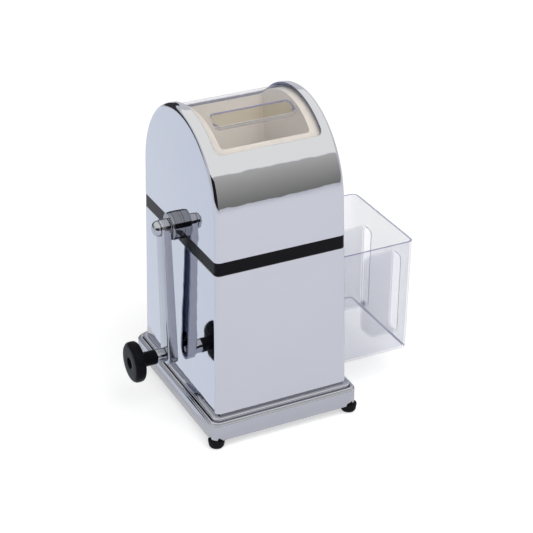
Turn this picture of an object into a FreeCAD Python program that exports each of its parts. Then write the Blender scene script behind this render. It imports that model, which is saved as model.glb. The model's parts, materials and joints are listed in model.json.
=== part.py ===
"""Hand crank ice crusher with an arched chrome housing, a roll-back lid and an ice bin.

Millimetres, +Z up. The origin is the centre of the footprint on the table. X runs along the arch and
the crank's shaft: the crank is on the -X side and the bin comes out on the +X side. -Y is the front.
"""

import FreeCAD
import Part
import Sketcher

import math
import os
import re

V = FreeCAD.Vector
doc = FreeCAD.newDocument("ice_crusher")

# Driving dimensions

SIZES = [
    # the housing
    ("total_height", 267.0, "table to the top of the arch"),
    ("arch_radius", 71.35, "outside of the arch"),
    ("body_width", 114.5, "along X, at the gauge height"),
    ("gauge_height", 162.0, "where the width is measured"),
    ("draft_angle", 1.03, "the walls lean in by this towards the top, in degrees"),
    ("body_bottom", 26.5, "where the housing stands on the base"),
    ("band_bottom", 153.4, "lower edge of the black band"),
    ("band_top", 164.8, "upper edge of the black band"),
    ("band_inset", 0.25, "the band lies this far inside the chrome"),
    ("band_wall", 2.4, "thickness of the band's ring"),
    ("edge_radius", 4.5, "rounding of the housing's edges"),
    ("skin", 1.8, "wall of the housing"),
    ("window_half_length", 46.0, "half the window, along the arch"),
    ("window_edge_angle", 44.5, "window's lower edge, above the horizontal, in degrees"),
    ("window_corner", 4.5, "corner radius of the window"),
    # the doorway of the bin
    ("doorway_half_width", 53.2, "half the doorway in the +X wall"),
    ("doorway_top", 135.5, "upper edge of the doorway"),
    ("doorway_corner", 6.0, "upper corners of the doorway"),
    # posts and screws
    ("post_place_across", 51.0, "posts of the lower housing, from the middle along X"),
    ("post_place_along", 64.0, "posts of the lower housing, from the middle along Y"),
    ("stud_place_across", 51.0, "posts of the upper housing, from the middle along X"),
    ("stud_place_along", 46.0, "posts of the upper housing, from the middle along Y"),
    ("post_radius", 7.2, "outside of a lower post, which its corner trims"),
    ("post_height", 16.0, "the lower housing's posts, at its bottom and at its top"),
    ("stud_radius", 4.6, "outside of an upper post, which its wall trims"),
    ("pillar_radius", 3.4, "the hopper's pillars, under the upper posts"),
    ("stud_top", 178.0, "upper end of the upper housing's posts"),
    ("screw_radius", 1.6, "shank of the case screws"),
    ("screw_head_radius", 3.0, "head of the case screws"),
    ("screw_head_height", 2.2, "head of the case screws"),
    ("screw_length", 11.0, "shank of the case screws"),
    ("housing_screw_length", 20.0, "shank of the screws that hold the upper housing"),
    # the base and the feet
    ("base_half_width", 66.05, "along X, at the lower edge"),
    ("base_half_depth", 81.1, "along Y, at the lower edge"),
    ("base_bottom", 7.3, "lower edge of the base"),
    ("base_ledge", 22.4, "the base's lowest step, which carries the outer bead"),
    ("base_step", 24.2, "the base's middle step, which carries the inner bead"),
    ("base_corner", 7.6, "corner radius of the base"),
    ("base_shoulder", 0.7, "rounding of the base's upper edge"),
    ("base_wall", 2.2, "wall of the base"),
    ("base_deck", 2.5, "thickness of the base's top"),
    ("bead_radius", 1.45, "half-round beads on the steps"),
    ("inner_bead_inset", 5.05, "middle of the inner bead, from the base's edge"),
    ("outer_bead_inset", 2.4, "middle of the outer bead, from the base's edge"),
    ("inner_bead_top", 26.5, "top of the inner bead"),
    ("outer_bead_top", 24.05, "top of the outer bead"),
    ("plinth_inset", 5.6, "edge of the raised deck, from the base's edge"),
    ("base_screw_seat", 24.0, "underside of the raised deck"),
    ("foot_place_across", 61.0, "feet, from the middle along X"),
    ("foot_place_along", 76.2, "feet, from the middle along Y"),
    ("foot_top_radius", 7.1, "rubber foot, against the base"),
    ("foot_top_round", 0.8, "rounding of the foot's upper edge"),
    ("foot_toe_radius", 6.1, "rubber foot, where its side ends"),
    ("foot_toe_round", 2.6, "rounding at the foot's toe"),
    ("foot_bore", 3.2, "recess for the foot's screw"),
    ("foot_screw_seat", 5.0, "the foot screw's head bears here"),
    ("foot_boss_radius", 5.6, "bosses in the base that the feet are screwed to"),
    ("foot_screw_length", 11.5, "shank of the feet's screws"),
    # the crushing chamber and the hopper
    ("shaft_height", 167.0, "the crank's axis, above the table"),
    ("chamber_half_length", 35.0, "inside of the chamber along X"),
    ("chamber_half_depth", 27.0, "inside of the chamber along Y"),
    ("chamber_corner", 1.0, "corner radius inside the chamber"),
    ("chamber_wall", 2.0, "wall of the chamber and of the funnel"),
    ("chamber_top", 192.0, "where the funnel starts"),
    ("hopper_seat", 156.0, "underside of the hopper's flange"),
    ("hopper_flange", 2.4, "thickness of the hopper's flange"),
    ("hopper_half_length", 54.2, "the hopper's flange along X"),
    ("hopper_half_depth", 56.5, "the hopper's flange along Y"),
    ("saddle_radius", 67.0, "outside of the arched flange that the lid rolls on"),
    ("saddle_wall", 1.8, "thickness of the arched flange"),
    ("saddle_half_length", 51.2, "the arched flange along X"),
    ("saddle_end_angle", 33.0, "the arched flange's ends, above the horizontal, in degrees"),
    ("mouth_half_length", 38.5, "inside of the funnel at the arch, along X"),
    ("mouth_half_depth", 43.2, "inside of the funnel at the arch, along Y"),
    ("mouth_height", 245.0, "where the mouth's depth is measured"),
    ("mouth_corner", 4.0, "corner radius inside the funnel"),
    ("funnel_end", 264.0, "the funnel is drawn up to here and trimmed by the arch"),
    ("ledge_half_length", 45.5, "hole in the band's ledge along X"),
    ("ledge_half_depth", 42.0, "hole in the band's ledge along Y"),
    ("ledge_thickness", 2.6, "thickness of the band's ledge"),
    ("cradle_bottom", 136.5, "lower end of the chute"),
    ("cradle_seat", 153.6, "underside of the cradle's flange"),
    ("cradle_half_length", 44.6, "the cradle's flange along X"),
    ("cradle_half_depth", 38.0, "the cradle's flange along Y"),
    ("cradle_screw_across", 40.8, "cradle's screws, from the middle along X"),
    ("cradle_screw_along", 33.5, "cradle's screws, from the middle along Y"),
    # bearings and shaft
    ("bush_radius", 7.5, "outside of the shaft's bushes"),
    ("bush_collar_radius", 9.6, "collar of a bush"),
    ("bush_collar", 1.6, "thickness of a bush's collar"),
    ("bearing_block", 44.0, "outer end of the blocks that hold the bushes, along X"),
    ("bearing_block_half", 10.5, "half the width of those blocks along Y"),
    ("bearing_block_top", 178.0, "upper end of those blocks"),
    ("shaft_radius", 5.0, "journals of the shaft"),
    ("running_gap", 0.05, "radial clearance of every running fit"),
    ("shaft_end", 48.5, "the shaft's inner end, along X"),
    ("clip_place", 46.6, "the clip's outer face, along X"),
    ("clip_thickness", 1.0, "the clip"),
    ("clip_radius", 8.0, "outside of the clip"),
    ("clip_groove", 4.0, "radius at the bottom of the clip's groove"),
    ("hexagon_half", 4.28, "half the width across flats of the shaft's middle"),
    ("hexagon_end", 33.0, "half the length of the hexagonal middle"),
    ("spigot_radius", 4.0, "the shaft inside the arm"),
    ("thread_radius", 3.0, "the shaft inside the domed nut"),
    # wheels and combs
    ("wheel_pitch", 13.0, "from wheel to wheel"),
    ("wheel_thickness", 2.5, "a toothed wheel"),
    ("wheel_root", 11.5, "radius between the teeth"),
    ("wheel_tip", 23.0, "radius at the teeth's tips"),
    ("tooth_count", 5, "teeth on a wheel"),
    ("tooth_back_angle", 33.0, "a tooth's long flank starts this far behind its tip, in degrees"),
    ("tooth_face_angle", 8.0, "a tooth's short flank starts this far before its tip, in degrees"),
    ("tooth_back_curve", 26.0, "radius of the long flank"),
    ("wheel_twist", 60.0, "each wheel is turned on from the last by one flat of the hexagon, in degrees"),
    ("spacer_radius", 9.5, "sleeves between the wheels"),
    ("comb_thickness", 2.0, "the combs' plates"),
    ("comb_bottom", 160.0, "lower edge of a comb's plate"),
    ("comb_top", 179.0, "upper edge of a comb's plate"),
    ("comb_half_length", 33.8, "half a comb's plate along X"),
    ("finger_width", 4.6, "a comb's finger, along X"),
    ("finger_reach", 12.0, "the fingers end this far from the shaft's axis"),
    ("finger_half_root", 3.0, "half a finger's height at the plate"),
    ("finger_half_tip", 1.4, "half a finger's height at its end"),
    ("comb_screw_place", 19.5, "comb's screws, from the middle along X"),
    ("comb_screw_height", 175.5, "comb's screws"),
    ("comb_screw_radius", 1.4, "shank of a comb's screw"),
    ("comb_screw_head", 2.7, "head radius of a comb's screw"),
    ("comb_screw_head_height", 1.6, "head height of a comb's screw"),
    # the crank
    ("boss_radius", 11.8, "chrome boss on the side"),
    ("boss_reach", 8.8, "the boss stands out by this"),
    ("boss_round", 1.2, "rounding of the boss's rim"),
    ("washer_radius", 6.8, "thrust washer"),
    ("washer_thickness", 0.4, "thrust washer"),
    ("arm_gap", 9.6, "from the side to the arm's inner face at its upper end"),
    ("arm_depth_top", 10.1, "the arm along X at its upper end"),
    ("arm_depth_bottom", 8.9, "the arm along X at its lower end"),
    ("arm_lean", 2.6, "the arm's inner face comes in by this at its lower end"),
    ("arm_top_radius", 7.0, "round upper end of the arm"),
    ("arm_bottom_radius", 8.4, "round lower end of the arm"),
    ("arm_wall", 2.0, "wall of the arm's channel"),
    ("arm_edge", 1.2, "rounding of the arm's outer edges"),
    ("arm_lug_radius", 4.6, "solid lug round the spindle, inside the channel"),
    ("lean_gap", 0.25, "what bears on the arm clears its leaning faces by this"),
    ("crank_radius", 118.2, "from the shaft's axis to the knob's axis"),
    ("nut_radius", 6.6, "domed nut"),
    ("nut_skirt", 1.6, "straight part of the domed nut"),
    ("nut_reach", 4.6, "the domed nut along X"),
    # the knob
    ("collar_radius", 6.0, "chrome ferrule"),
    ("collar_length", 8.0, "chrome ferrule"),
    ("stem_radius", 6.2, "the knob's stem"),
    ("stem_length", 13.8, "the knob's stem"),
    ("disc_radius", 17.4, "the knob's disc"),
    ("disc_thickness", 9.4, "the knob's disc"),
    ("disc_round_outer", 3.6, "rounding of the disc's outer rim"),
    ("disc_round_inner", 3.2, "rounding of the disc's inner rim"),
    ("dimple_radius", 4.8, "recess in the knob's outer face"),
    ("dimple_depth", 5.0, "recess in the knob's outer face"),
    ("spindle_radius", 3.0, "spindle inside the knob"),
    ("spindle_head_radius", 4.3, "head of the spindle"),
    ("spindle_head_height", 2.2, "head of the spindle"),
    ("spindle_thread_radius", 2.5, "spindle inside the arm"),
    ("end_play", 0.2, "gap at each end of the knob"),
    # the lid
    ("lid_radius", 69.2, "outside of the lid"),
    ("lid_wall", 1.8, "thickness of the lid"),
    ("lid_half_length", 50.6, "the lid along X"),
    ("lid_end_angle", 40.0, "the lid's ends, above the horizontal, in degrees"),
    ("pocket_half_length", 35.0, "finger pocket of the lid along X"),
    ("pocket_low_angle", 64.0, "lower edge of the finger pocket, in degrees"),
    ("pocket_high_angle", 79.5, "upper edge of the finger pocket, in degrees"),
    ("pocket_depth", 5.4, "depth of the finger pocket at its lower edge"),
    # the ice bin
    ("bin_bottom", 27.3, "underside of the bin"),
    ("bin_rim", 131.7, "rim of the bin"),
    ("bin_outer_end", 134.3, "the rim's outer end, part of the way out, along X"),
    ("bin_length", 118.0, "length of the rim"),
    ("bin_half_width", 51.0, "half the width of the rim"),
    ("bin_taper", 1.3, "the bin is smaller by this on each side at its bottom"),
    ("bin_corner", 5.5, "corner radius of the bin"),
    ("bin_wall", 1.8, "walls of the bin"),
    ("bin_floor", 2.2, "floor of the bin"),
    ("bin_floor_round", 3.0, "rounding round the bin's floor"),
    ("trough_place", 31.0, "middle of a finger trough, from the bin's outer end"),
    ("trough_half_width", 12.0, "half a finger trough along X"),
    ("trough_bottom", 48.5, "lower end of a finger trough"),
    ("trough_top", 126.5, "upper end of a finger trough"),
    ("trough_floor", 41.5, "the trough's floor, from the middle along Y"),
    ("trough_corner", 6.0, "corners of a trough"),
    ("trough_round", 4.0, "rounding at a trough's floor"),
]

sheet = doc.addObject("Spreadsheet::Sheet", "Sizes")
for row, (alias, amount, meaning) in enumerate(SIZES, start=1):
    sheet.set(f"A{row}", meaning)
    sheet.set(f"B{row}", str(amount))
    sheet.setAlias(f"B{row}", alias)
doc.recompute()
ALIASES = {alias for alias, amount, meaning in SIZES}


def value(formula):
    """The number that a formula in the sheet's aliases comes to."""
    return float(sheet.evalExpression(formula))


def linked(formula):
    """The formula as another object of the document writes it."""
    return re.sub(r"[a-z_]+", lambda word: f"Sizes.{word[0]}" if word[0] in ALIASES else word[0], formula)


def bind(feature, **formulas):
    """Binds properties of a feature to formulas in the sheet's aliases."""
    for name, formula in formulas.items():
        feature.setExpression(name, linked(formula))
    return feature


# Formulas that several pieces share

SPRING = "(total_height - arch_radius)"
DOWN = "(shaft_height - crank_radius)"


def half_width_at(height, inset="0"):
    """Half the housing along X at a height, drawn in by an inset."""
    return f"(body_width / 2 + (gauge_height - ({height})) * tan(draft_angle) - ({inset}))"


def half_depth_at(height, inset="0"):
    """Half the housing along Y at a height below the arch, drawn in by an inset."""
    return f"((arch_radius - ({inset})) / cos(draft_angle) + ({SPRING} - ({height})) * tan(draft_angle))"


SIDE = half_width_at("shaft_height")
SIDE_DOWN = half_width_at(DOWN)
ARM_INNER = f"(-{SIDE} - arm_gap)"
ARM_OUTER = f"({ARM_INNER} - arm_depth_top)"
ARM_INNER_DOWN = f"({ARM_INNER} + arm_lean)"
ARM_OUTER_DOWN = f"({ARM_INNER_DOWN} - arm_depth_bottom)"
BOSS_FACE = f"(-{SIDE} - boss_reach)"

# Sketches and features


def plane(body, role):
    """One of the origin planes or axes of a body."""
    return next(feature for feature in body.Origin.OriginFeatures if feature.Role == role)


def pin(sketch, geometry, point, x, y):
    """Holds a point of the sketch at x, y from the sketch's origin, both formulas."""
    for kind, formula in (("DistanceX", x), ("DistanceY", y)):
        amount = value(formula)
        if abs(amount) < 1e-9:
            axis = -2 if kind == "DistanceX" else -1
            sketch.addConstraint(Sketcher.Constraint("PointOnObject", geometry, point, axis))
            continue
        ends = (-1, 1, geometry, point) if amount > 0 else (geometry, point, -1, 1)
        index = sketch.addConstraint(Sketcher.Constraint(kind, *ends, abs(amount)))
        sketch.setExpression(f"Constraints[{index}]", linked(formula if amount > 0 else f"-({formula})"))


def hold_radius(sketch, geometry, formula):
    """Binds the radius of a circle or an arc."""
    index = sketch.addConstraint(Sketcher.Constraint("Radius", geometry, value(formula)))
    sketch.setExpression(f"Constraints[{index}]", linked(formula))


def new_sketch(body, name, role, offset):
    """An empty sketch on an origin plane, moved along the plane's normal by an offset."""
    sketch = body.newObject("Sketcher::SketchObject", name)
    sketch.AttachmentSupport = [(plane(body, role), "")]
    sketch.MapMode = "FlatFace"
    sketch.setExpression("AttachmentOffset.Base.z", linked(offset))
    return sketch


def draw_outline(body, name, role, corners, offset="0"):
    """A closed outline through corners (x, y). A corner (x, y, r) starts an arc of radius r, which
    runs anticlockwise to the next corner, or clockwise if the formula starts with a minus sign."""
    sketch = new_sketch(body, name, role, offset)
    ends = []
    for place, corner in enumerate(corners):
        following = corners[(place + 1) % len(corners)]
        start = V(value(corner[0]), value(corner[1]), 0)
        stop = V(value(following[0]), value(following[1]), 0)
        if len(corner) == 2:
            geometry = sketch.addGeometry(Part.LineSegment(start, stop), False)
            ends.append((geometry, 1, 2))
            continue
        clockwise = corner[2].startswith("-")
        radius = abs(value(corner[2]))
        if clockwise:
            start, stop = stop, start
        chord = stop - start
        rise = math.sqrt(max(radius**2 - (chord.Length / 2) ** 2, 0))
        side = V(-chord.y, chord.x, 0) / chord.Length
        centre = (start + stop) / 2 + side * rise
        first = math.atan2(start.y - centre.y, start.x - centre.x)
        last = math.atan2(stop.y - centre.y, stop.x - centre.x)
        circle = Part.Circle(centre, V(0, 0, 1), radius)
        geometry = sketch.addGeometry(Part.ArcOfCircle(circle, first, last), False)
        ends.append((geometry, 2, 1) if clockwise else (geometry, 1, 2))
        hold_radius(sketch, geometry, corner[2].lstrip("-"))
    for place, (geometry, start, stop) in enumerate(ends):
        neighbour = ends[(place + 1) % len(ends)]
        sketch.addConstraint(Sketcher.Constraint("Coincident", geometry, stop, neighbour[0], neighbour[1]))
        pin(sketch, geometry, start, corners[place][0], corners[place][1])
    return sketch


def draw_circles(body, name, role, circles, offset="0"):
    """Circles (x, y, radius)."""
    sketch = new_sketch(body, name, role, offset)
    for x, y, radius in circles:
        circle = Part.Circle(V(value(x), value(y), 0), V(0, 0, 1), value(radius))
        geometry = sketch.addGeometry(circle, False)
        pin(sketch, geometry, 3, x, y)
        hold_radius(sketch, geometry, radius)
    return sketch


def rounded_rectangle(half_x, half_y, radius, middle_x="0", middle_y="0"):
    """The corners of a rectangle with rounded corners, for draw_outline."""
    left, right = f"({middle_x}) - ({half_x})", f"({middle_x}) + ({half_x})"
    low, high = f"({middle_y}) - ({half_y})", f"({middle_y}) + ({half_y})"
    return [
        (f"{left} + ({radius})", low),
        (f"{right} - ({radius})", low, radius),
        (right, f"{low} + ({radius})"),
        (right, f"{high} - ({radius})", radius),
        (f"{right} - ({radius})", high),
        (f"{left} + ({radius})", high, radius),
        (left, f"{high} - ({radius})"),
        (left, f"{low} + ({radius})", radius),
    ]


def rectangle(left, right, low, high):
    """The corners of a plain rectangle, for draw_outline."""
    return [(left, low), (right, low), (right, high), (left, high)]


def mirrored(corners):
    """The same outline on the other side of the vertical axis, still anticlockwise."""
    return [(f"-({corner[0]})", corner[1]) for corner in reversed(corners)]


def new_body(name):
    """A body whose solids may stand apart."""
    body = doc.addObject("PartDesign::Body", name)
    body.AllowCompound = True
    return body


def pad(body, sketch, length, name, both_ways=False):
    """Raises a sketch along its normal, or to both sides of it."""
    feature = body.newObject("PartDesign::Pad", name)
    feature.Profile = sketch
    feature.SideType = "Symmetric" if both_ways else "One side"
    return settle(bind(feature, Length=length))


def pocket(body, sketch, length, name, both_ways=False):
    """Cuts a sketch out against its normal, or to both sides of it."""
    before = body.Shape.Volume
    feature = body.newObject("PartDesign::Pocket", name)
    feature.Profile = sketch
    feature.SideType = "Symmetric" if both_ways else "One side"
    settle(bind(feature, Length=length))
    if body.Shape.Volume > before - 1e-3:
        raise ValueError(f"{name} cuts nothing")
    return feature


def revolve(body, sketch, axis, name):
    """Turns a sketch once round an axis of the sketch: H_Axis or V_Axis."""
    feature = body.newObject("PartDesign::Revolution", name)
    feature.Profile = sketch
    feature.ReferenceAxis = (sketch, [axis])
    feature.Angle = 360
    return settle(feature)


def fillet(body, base, radius, wanted, name):
    """Rounds the edges of a feature that a test picks."""
    names = [f"Edge{n}" for n, edge in enumerate(base.Shape.Edges, start=1) if wanted(edge)]
    if not names:
        raise ValueError(f"{name} rounds nothing")
    feature = body.newObject("PartDesign::Fillet", name)
    feature.Base = (base, names)
    return settle(bind(feature, Radius=radius))


def settle(feature):
    """Recomputes after a feature and stops if it failed."""
    doc.recompute()
    if {"Invalid", "Error"} & set(feature.State):
        raise ValueError(f"{feature.Label} failed: {feature.getStatusString()}")
    return feature


def boolean(kind, name, *pieces):
    """Part::Cut, Part::Common or Part::MultiFuse of whole objects."""
    feature = doc.addObject(f"Part::{kind}", name)
    if kind == "MultiFuse":
        feature.Shapes = list(pieces)
    else:
        feature.Base, feature.Tool = pieces
    return settle(feature)


def block(name, left, right, front, back, low, high):
    """A Part::Box between six formulas."""
    box = doc.addObject("Part::Box", name)
    bind(box, Length=f"({right}) - ({left})", Width=f"({back}) - ({front})", Height=f"({high}) - ({low})")
    for axis, formula in (("x", left), ("y", front), ("z", low)):
        box.setExpression(f"Placement.Base.{axis}", linked(formula))
    return settle(box)


def rod(name, axis, radius, start, stop, middle=("0", "0")):
    """A Part::Cylinder along an axis, from start to stop, round a middle given by the other two."""
    cylinder = doc.addObject("Part::Cylinder", name)
    bind(cylinder, Radius=radius, Height=f"({stop}) - ({start})")
    place = {"X": (start, *middle), "Y": (middle[0], start, middle[1]), "Z": (*middle, start)}[axis]
    turn = {"X": (V(0, 1, 0), 90), "Y": (V(1, 0, 0), -90), "Z": (V(0, 0, 1), 0)}[axis]
    cylinder.Placement.Rotation = FreeCAD.Rotation(*turn)
    for letter, formula in zip("xyz", place):
        cylinder.setExpression(f"Placement.Base.{letter}", linked(formula))
    return settle(cylinder)


def group(name, seed, placements):
    """Copies of one piece as separate solids of one node."""
    feature = doc.addObject("Part::Feature", name)
    shapes = []
    for placement in placements:
        shape = seed.Shape.copy()
        shape.Placement = placement.multiply(shape.Placement)
        shapes.append(shape)
    feature.Shape = Part.makeCompound([solid for shape in shapes for solid in shape.Solids])
    return feature


def four_places(across, along, height):
    """The four placements at plus and minus two distances."""
    return [
        FreeCAD.Placement(V(x * value(across), y * value(along), value(height)), FreeCAD.Rotation())
        for x in (-1, 1)
        for y in (-1, 1)
    ]


NODES = {}


def node(name, piece):
    """Names the finished piece as a node of its own."""
    piece.Label = name
    NODES[name] = piece
    return piece


# The housing's outline, which the two housings, the band and the boss are cut from


def envelope(name, inset, bottom):
    """The housing's outline drawn in by an inset: an arch over drafted walls, its edges rounded."""
    body = new_body(name)
    radius = f"(arch_radius - ({inset}))"
    tangent_y = f"({radius} * cos(draft_angle))"
    tangent_z = f"({SPRING} + {radius} * sin(draft_angle))"
    foot = half_depth_at(bottom, inset)
    crown = f"({SPRING} + {radius})"
    arch = [
        (f"-{foot}", bottom),
        (foot, bottom),
        (tangent_y, tangent_z, radius),
        ("0", crown, radius),
        (f"-{tangent_y}", tangent_z),
    ]
    width = half_width_at(bottom, inset)
    side = draw_outline(body, f"{name}_arch", "YZ_Plane", arch)
    block_feature = pad(body, side, f"2 * {width}", f"{name}_prism", both_ways=True)
    wedge = [
        (width, bottom),
        (f"{width} + 5", bottom),
        (f"{width} + 5", f"{crown} + 1"),
        (half_width_at(f"{crown} + 1", inset), f"{crown} + 1"),
    ]
    for place, corners in enumerate((wedge, mirrored(wedge))):
        cut = draw_outline(body, f"{name}_draft_line_{place}", "XZ_Plane", corners)
        block_feature = pocket(body, cut, f"2 * {foot} + 2", f"{name}_draft_{place}", both_ways=True)
    low = value(bottom)

    def on_a_side(edge):
        box = edge.BoundBox
        return min(abs(box.XMin), abs(box.XMax)) > 40 and box.ZMax > low + 1e-3

    fillet(body, block_feature, f"edge_radius - ({inset})", on_a_side, f"{name}_rounding")
    return body


outside = envelope("outside", "0", "body_bottom")
inside = envelope("inside", "skin", "body_bottom - 1")


def slab(name, low, high):
    """A block wider than the housing between two heights."""
    return block(name, "-100", "100", "-100", "100", low, high)


def shaft_hole(name, radius, start, stop):
    """A cylinder round the crank's axis."""
    return rod(name, "X", radius, start, stop, ("0", "shaft_height"))


# Upper housing: the arch with its window, and four posts for screws

upper_skin = boolean("Common", "upper_skin", outside, slab("upper_slab", "band_top", "total_height + 10"))
upper_shell = boolean("Cut", "upper_shell", upper_skin, inside)
window = new_body("window")
WINDOW_HALF_DEPTH = "arch_radius * cos(window_edge_angle)"
window_sketch = draw_outline(
    window,
    "window_outline",
    "XY_Plane",
    rounded_rectangle("window_half_length", WINDOW_HALF_DEPTH, "window_corner"),
    "shaft_height + 40",
)
pad(window, window_sketch, "80", "window_prism")
upper_open = boolean("Cut", "upper_open", upper_shell, window)
stud = rod("stud_seed", "Z", "stud_radius", "band_top", "stud_top")
studs = group("upper_posts", stud, four_places("stud_place_across", "stud_place_along", "0"))
studs_inside = boolean("Common", "upper_posts_trimmed", studs, inside)
upper_whole = boolean("MultiFuse", "upper_whole", upper_open, studs_inside)
stud_hole = rod("stud_hole_seed", "Z", "screw_radius", "hopper_seat - 5", "stud_top - 2")
stud_holes = group("upper_post_holes", stud_hole, four_places("stud_place_across", "stud_place_along", "0"))
upper_bored = boolean("Cut", "upper_bored", upper_whole, stud_holes)
upper_bush_hole = shaft_hole("upper_bush_hole", "bush_radius", "-80", "-45")
node("upper_housing", boolean("Cut", "upper_finished", upper_bored, upper_bush_hole))

# Lower housing: four walls, the doorway of the bin and four posts for screws

lower_skin = boolean("Common", "lower_skin", outside, slab("lower_slab", "body_bottom", "band_bottom"))
lower_shell = boolean("Cut", "lower_shell", lower_skin, inside)
post_low = rod("post_low", "Z", "post_radius", "body_bottom", "body_bottom + post_height")
post_high = rod("post_high", "Z", "post_radius", "band_bottom - post_height", "band_bottom")
post = boolean("MultiFuse", "post_pair", post_low, post_high)
posts = group("lower_posts", post, four_places("post_place_across", "post_place_along", "0"))
posts_inside = boolean("Common", "lower_posts_trimmed", posts, inside)
lower_whole = boolean("MultiFuse", "lower_whole", lower_shell, posts_inside)
doorway = new_body("doorway")
DOORWAY = [
    ("-doorway_half_width", "body_bottom - 2"),
    ("doorway_half_width", "body_bottom - 2"),
    ("doorway_half_width", "doorway_top - doorway_corner", "doorway_corner"),
    ("doorway_half_width - doorway_corner", "doorway_top"),
    ("doorway_corner - doorway_half_width", "doorway_top", "doorway_corner"),
    ("-doorway_half_width", "doorway_top - doorway_corner"),
]
doorway_sketch = draw_outline(doorway, "doorway_outline", "YZ_Plane", DOORWAY, "body_width / 2 - 15")
pad(doorway, doorway_sketch, "30", "doorway_prism")
lower_open = boolean("Cut", "lower_open", lower_whole, doorway)
post_hole = rod("post_hole_seed", "Z", "screw_radius", "body_bottom - 2", "body_bottom + screw_length")
post_hole_top = rod("post_hole_top_seed", "Z", "screw_radius", "band_bottom - screw_length", "band_bottom + 5")
hole_pair = boolean("MultiFuse", "post_hole_pair", post_hole, post_hole_top)
post_holes = group("lower_post_holes", hole_pair, four_places("post_place_across", "post_place_along", "0"))
node("lower_housing", boolean("Cut", "lower_finished", lower_open, post_holes))

# Black band: a ring with a ledge inside, which carries the hopper and ties the housings together

band_outer = envelope("band_outer", "band_inset", "body_bottom")
band_inner = envelope("band_inner", "band_inset + band_wall", "body_bottom - 1")
band_solid = boolean("Common", "band_solid", band_outer, slab("band_slab", "band_bottom", "band_top"))
well = boolean(
    "Common", "band_well_trimmed", band_inner, slab("band_well", "band_bottom + ledge_thickness", "band_top + 5")
)
band_ring = boolean("Cut", "band_ring", band_solid, well)
ledge_hole = new_body("ledge_hole")
ledge_sketch = draw_outline(
    ledge_hole, "ledge_outline", "XY_Plane", rounded_rectangle("ledge_half_length", "ledge_half_depth", "5"),
    "band_bottom - 5",
)
pad(ledge_hole, ledge_sketch, "20", "ledge_prism")
band_open = boolean("Cut", "band_open", band_ring, ledge_hole)
band_hole_seed = rod("band_hole_seed", "Z", "screw_radius", "band_bottom - 2", "band_top")
band_holes = boolean(
    "MultiFuse",
    "band_holes",
    group("band_holes_low", band_hole_seed, four_places("post_place_across", "post_place_along", "0")),
    group("band_holes_high", band_hole_seed, four_places("stud_place_across", "stud_place_along", "0")),
)
band_bored = boolean("Cut", "band_bored", band_open, band_holes)
band_bush_hole = shaft_hole("band_bush_hole", "bush_radius", "-80", "-45")
node("trim_band", boolean("Cut", "band_finished", band_bored, band_bush_hole))

# Base: a beaded tray, hollow underneath, with bosses over the feet

base = new_body("base_body")


def base_ring(inset, corner="base_corner"):
    """The base's outline, drawn in by an inset."""
    return rounded_rectangle(f"base_half_width - {inset}", f"base_half_depth - {inset}", corner)


base_outline = draw_outline(base, "base_outline", "XY_Plane", base_ring("0"), "base_bottom")
base_block = pad(base, base_outline, "base_ledge - base_bottom", "base_block")
base_top = value("base_ledge")


def at_the_shoulder(edge):
    box = edge.BoundBox
    return abs(box.ZMin - base_top) < 1e-3 and abs(box.ZMax - base_top) < 1e-3


fillet(base, base_block, "base_shoulder", at_the_shoulder, "base_shoulder_round")
for name, inset, top in (
    ("middle_step", "outer_bead_inset", "base_step"),
    ("plinth", "plinth_inset", "body_bottom"),
):
    step = draw_outline(base, f"{name}_outline", "XY_Plane", base_ring(inset, "base_corner - 1"), "base_ledge - 1")
    pad(base, step, f"{top} - base_ledge + 1", name)
for name, inset, top in (
    ("base_hollow", "base_wall", "base_ledge - base_deck"),
    ("plinth_hollow", "plinth_inset + base_wall", "base_screw_seat"),
):
    hollow = draw_outline(base, f"{name}_outline", "XY_Plane", base_ring(inset, "base_corner - base_wall"), top)
    pocket(base, hollow, "base_ledge", name)
boss_circles = [
    (f"{x} * foot_place_across", f"{y} * foot_place_along", "foot_boss_radius") for x in (-1, 1) for y in (-1, 1)
]
foot_boss_sketch = draw_circles(base, "foot_boss_circles", "XY_Plane", boss_circles, "base_bottom")
pad(base, foot_boss_sketch, "base_ledge - base_bottom - 1", "foot_bosses")
boss_holes = [(x, y, "screw_radius") for x, y, radius in boss_circles]
foot_hole_sketch = draw_circles(base, "foot_hole_circles", "XY_Plane", boss_holes, "base_ledge - 3")
pocket(base, foot_hole_sketch, "base_ledge - base_bottom", "foot_holes")
post_hole_circles = [
    (f"{x} * post_place_across", f"{y} * post_place_along", "screw_radius") for x in (-1, 1) for y in (-1, 1)
]
tie_sketch = draw_circles(base, "base_screw_circles", "XY_Plane", post_hole_circles, "body_bottom + 1")
pocket(base, tie_sketch, "10", "base_screw_holes")


def bead(name, inset, top):
    """A half-round bead round the ledge: straight runs joined by quarter turns."""
    half_x, half_y = f"base_half_width - {inset}", f"base_half_depth - {inset}"
    turn = f"(base_corner + 0.8 - {inset} / 2)"
    height = f"({top} - bead_radius)"
    body = new_body(name)
    path = draw_outline(body, f"{name}_path", "XY_Plane", rounded_rectangle(half_x, half_y, turn), height)
    section = draw_circles(body, f"{name}_section", "XZ_Plane", [(half_x, height, "bead_radius")])
    pipe = body.newObject("PartDesign::AdditivePipe", f"{name}_pipe")
    pipe.Profile = section
    pipe.Spine = path
    settle(pipe)
    return body


beads = [
    bead("inner_bead", "inner_bead_inset", "inner_bead_top"),
    bead("outer_bead", "outer_bead_inset", "outer_bead_top"),
]
node("base", boolean("MultiFuse", "base_finished", base, *beads))

# Feet: rubber cones with a recess for their screw

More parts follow.
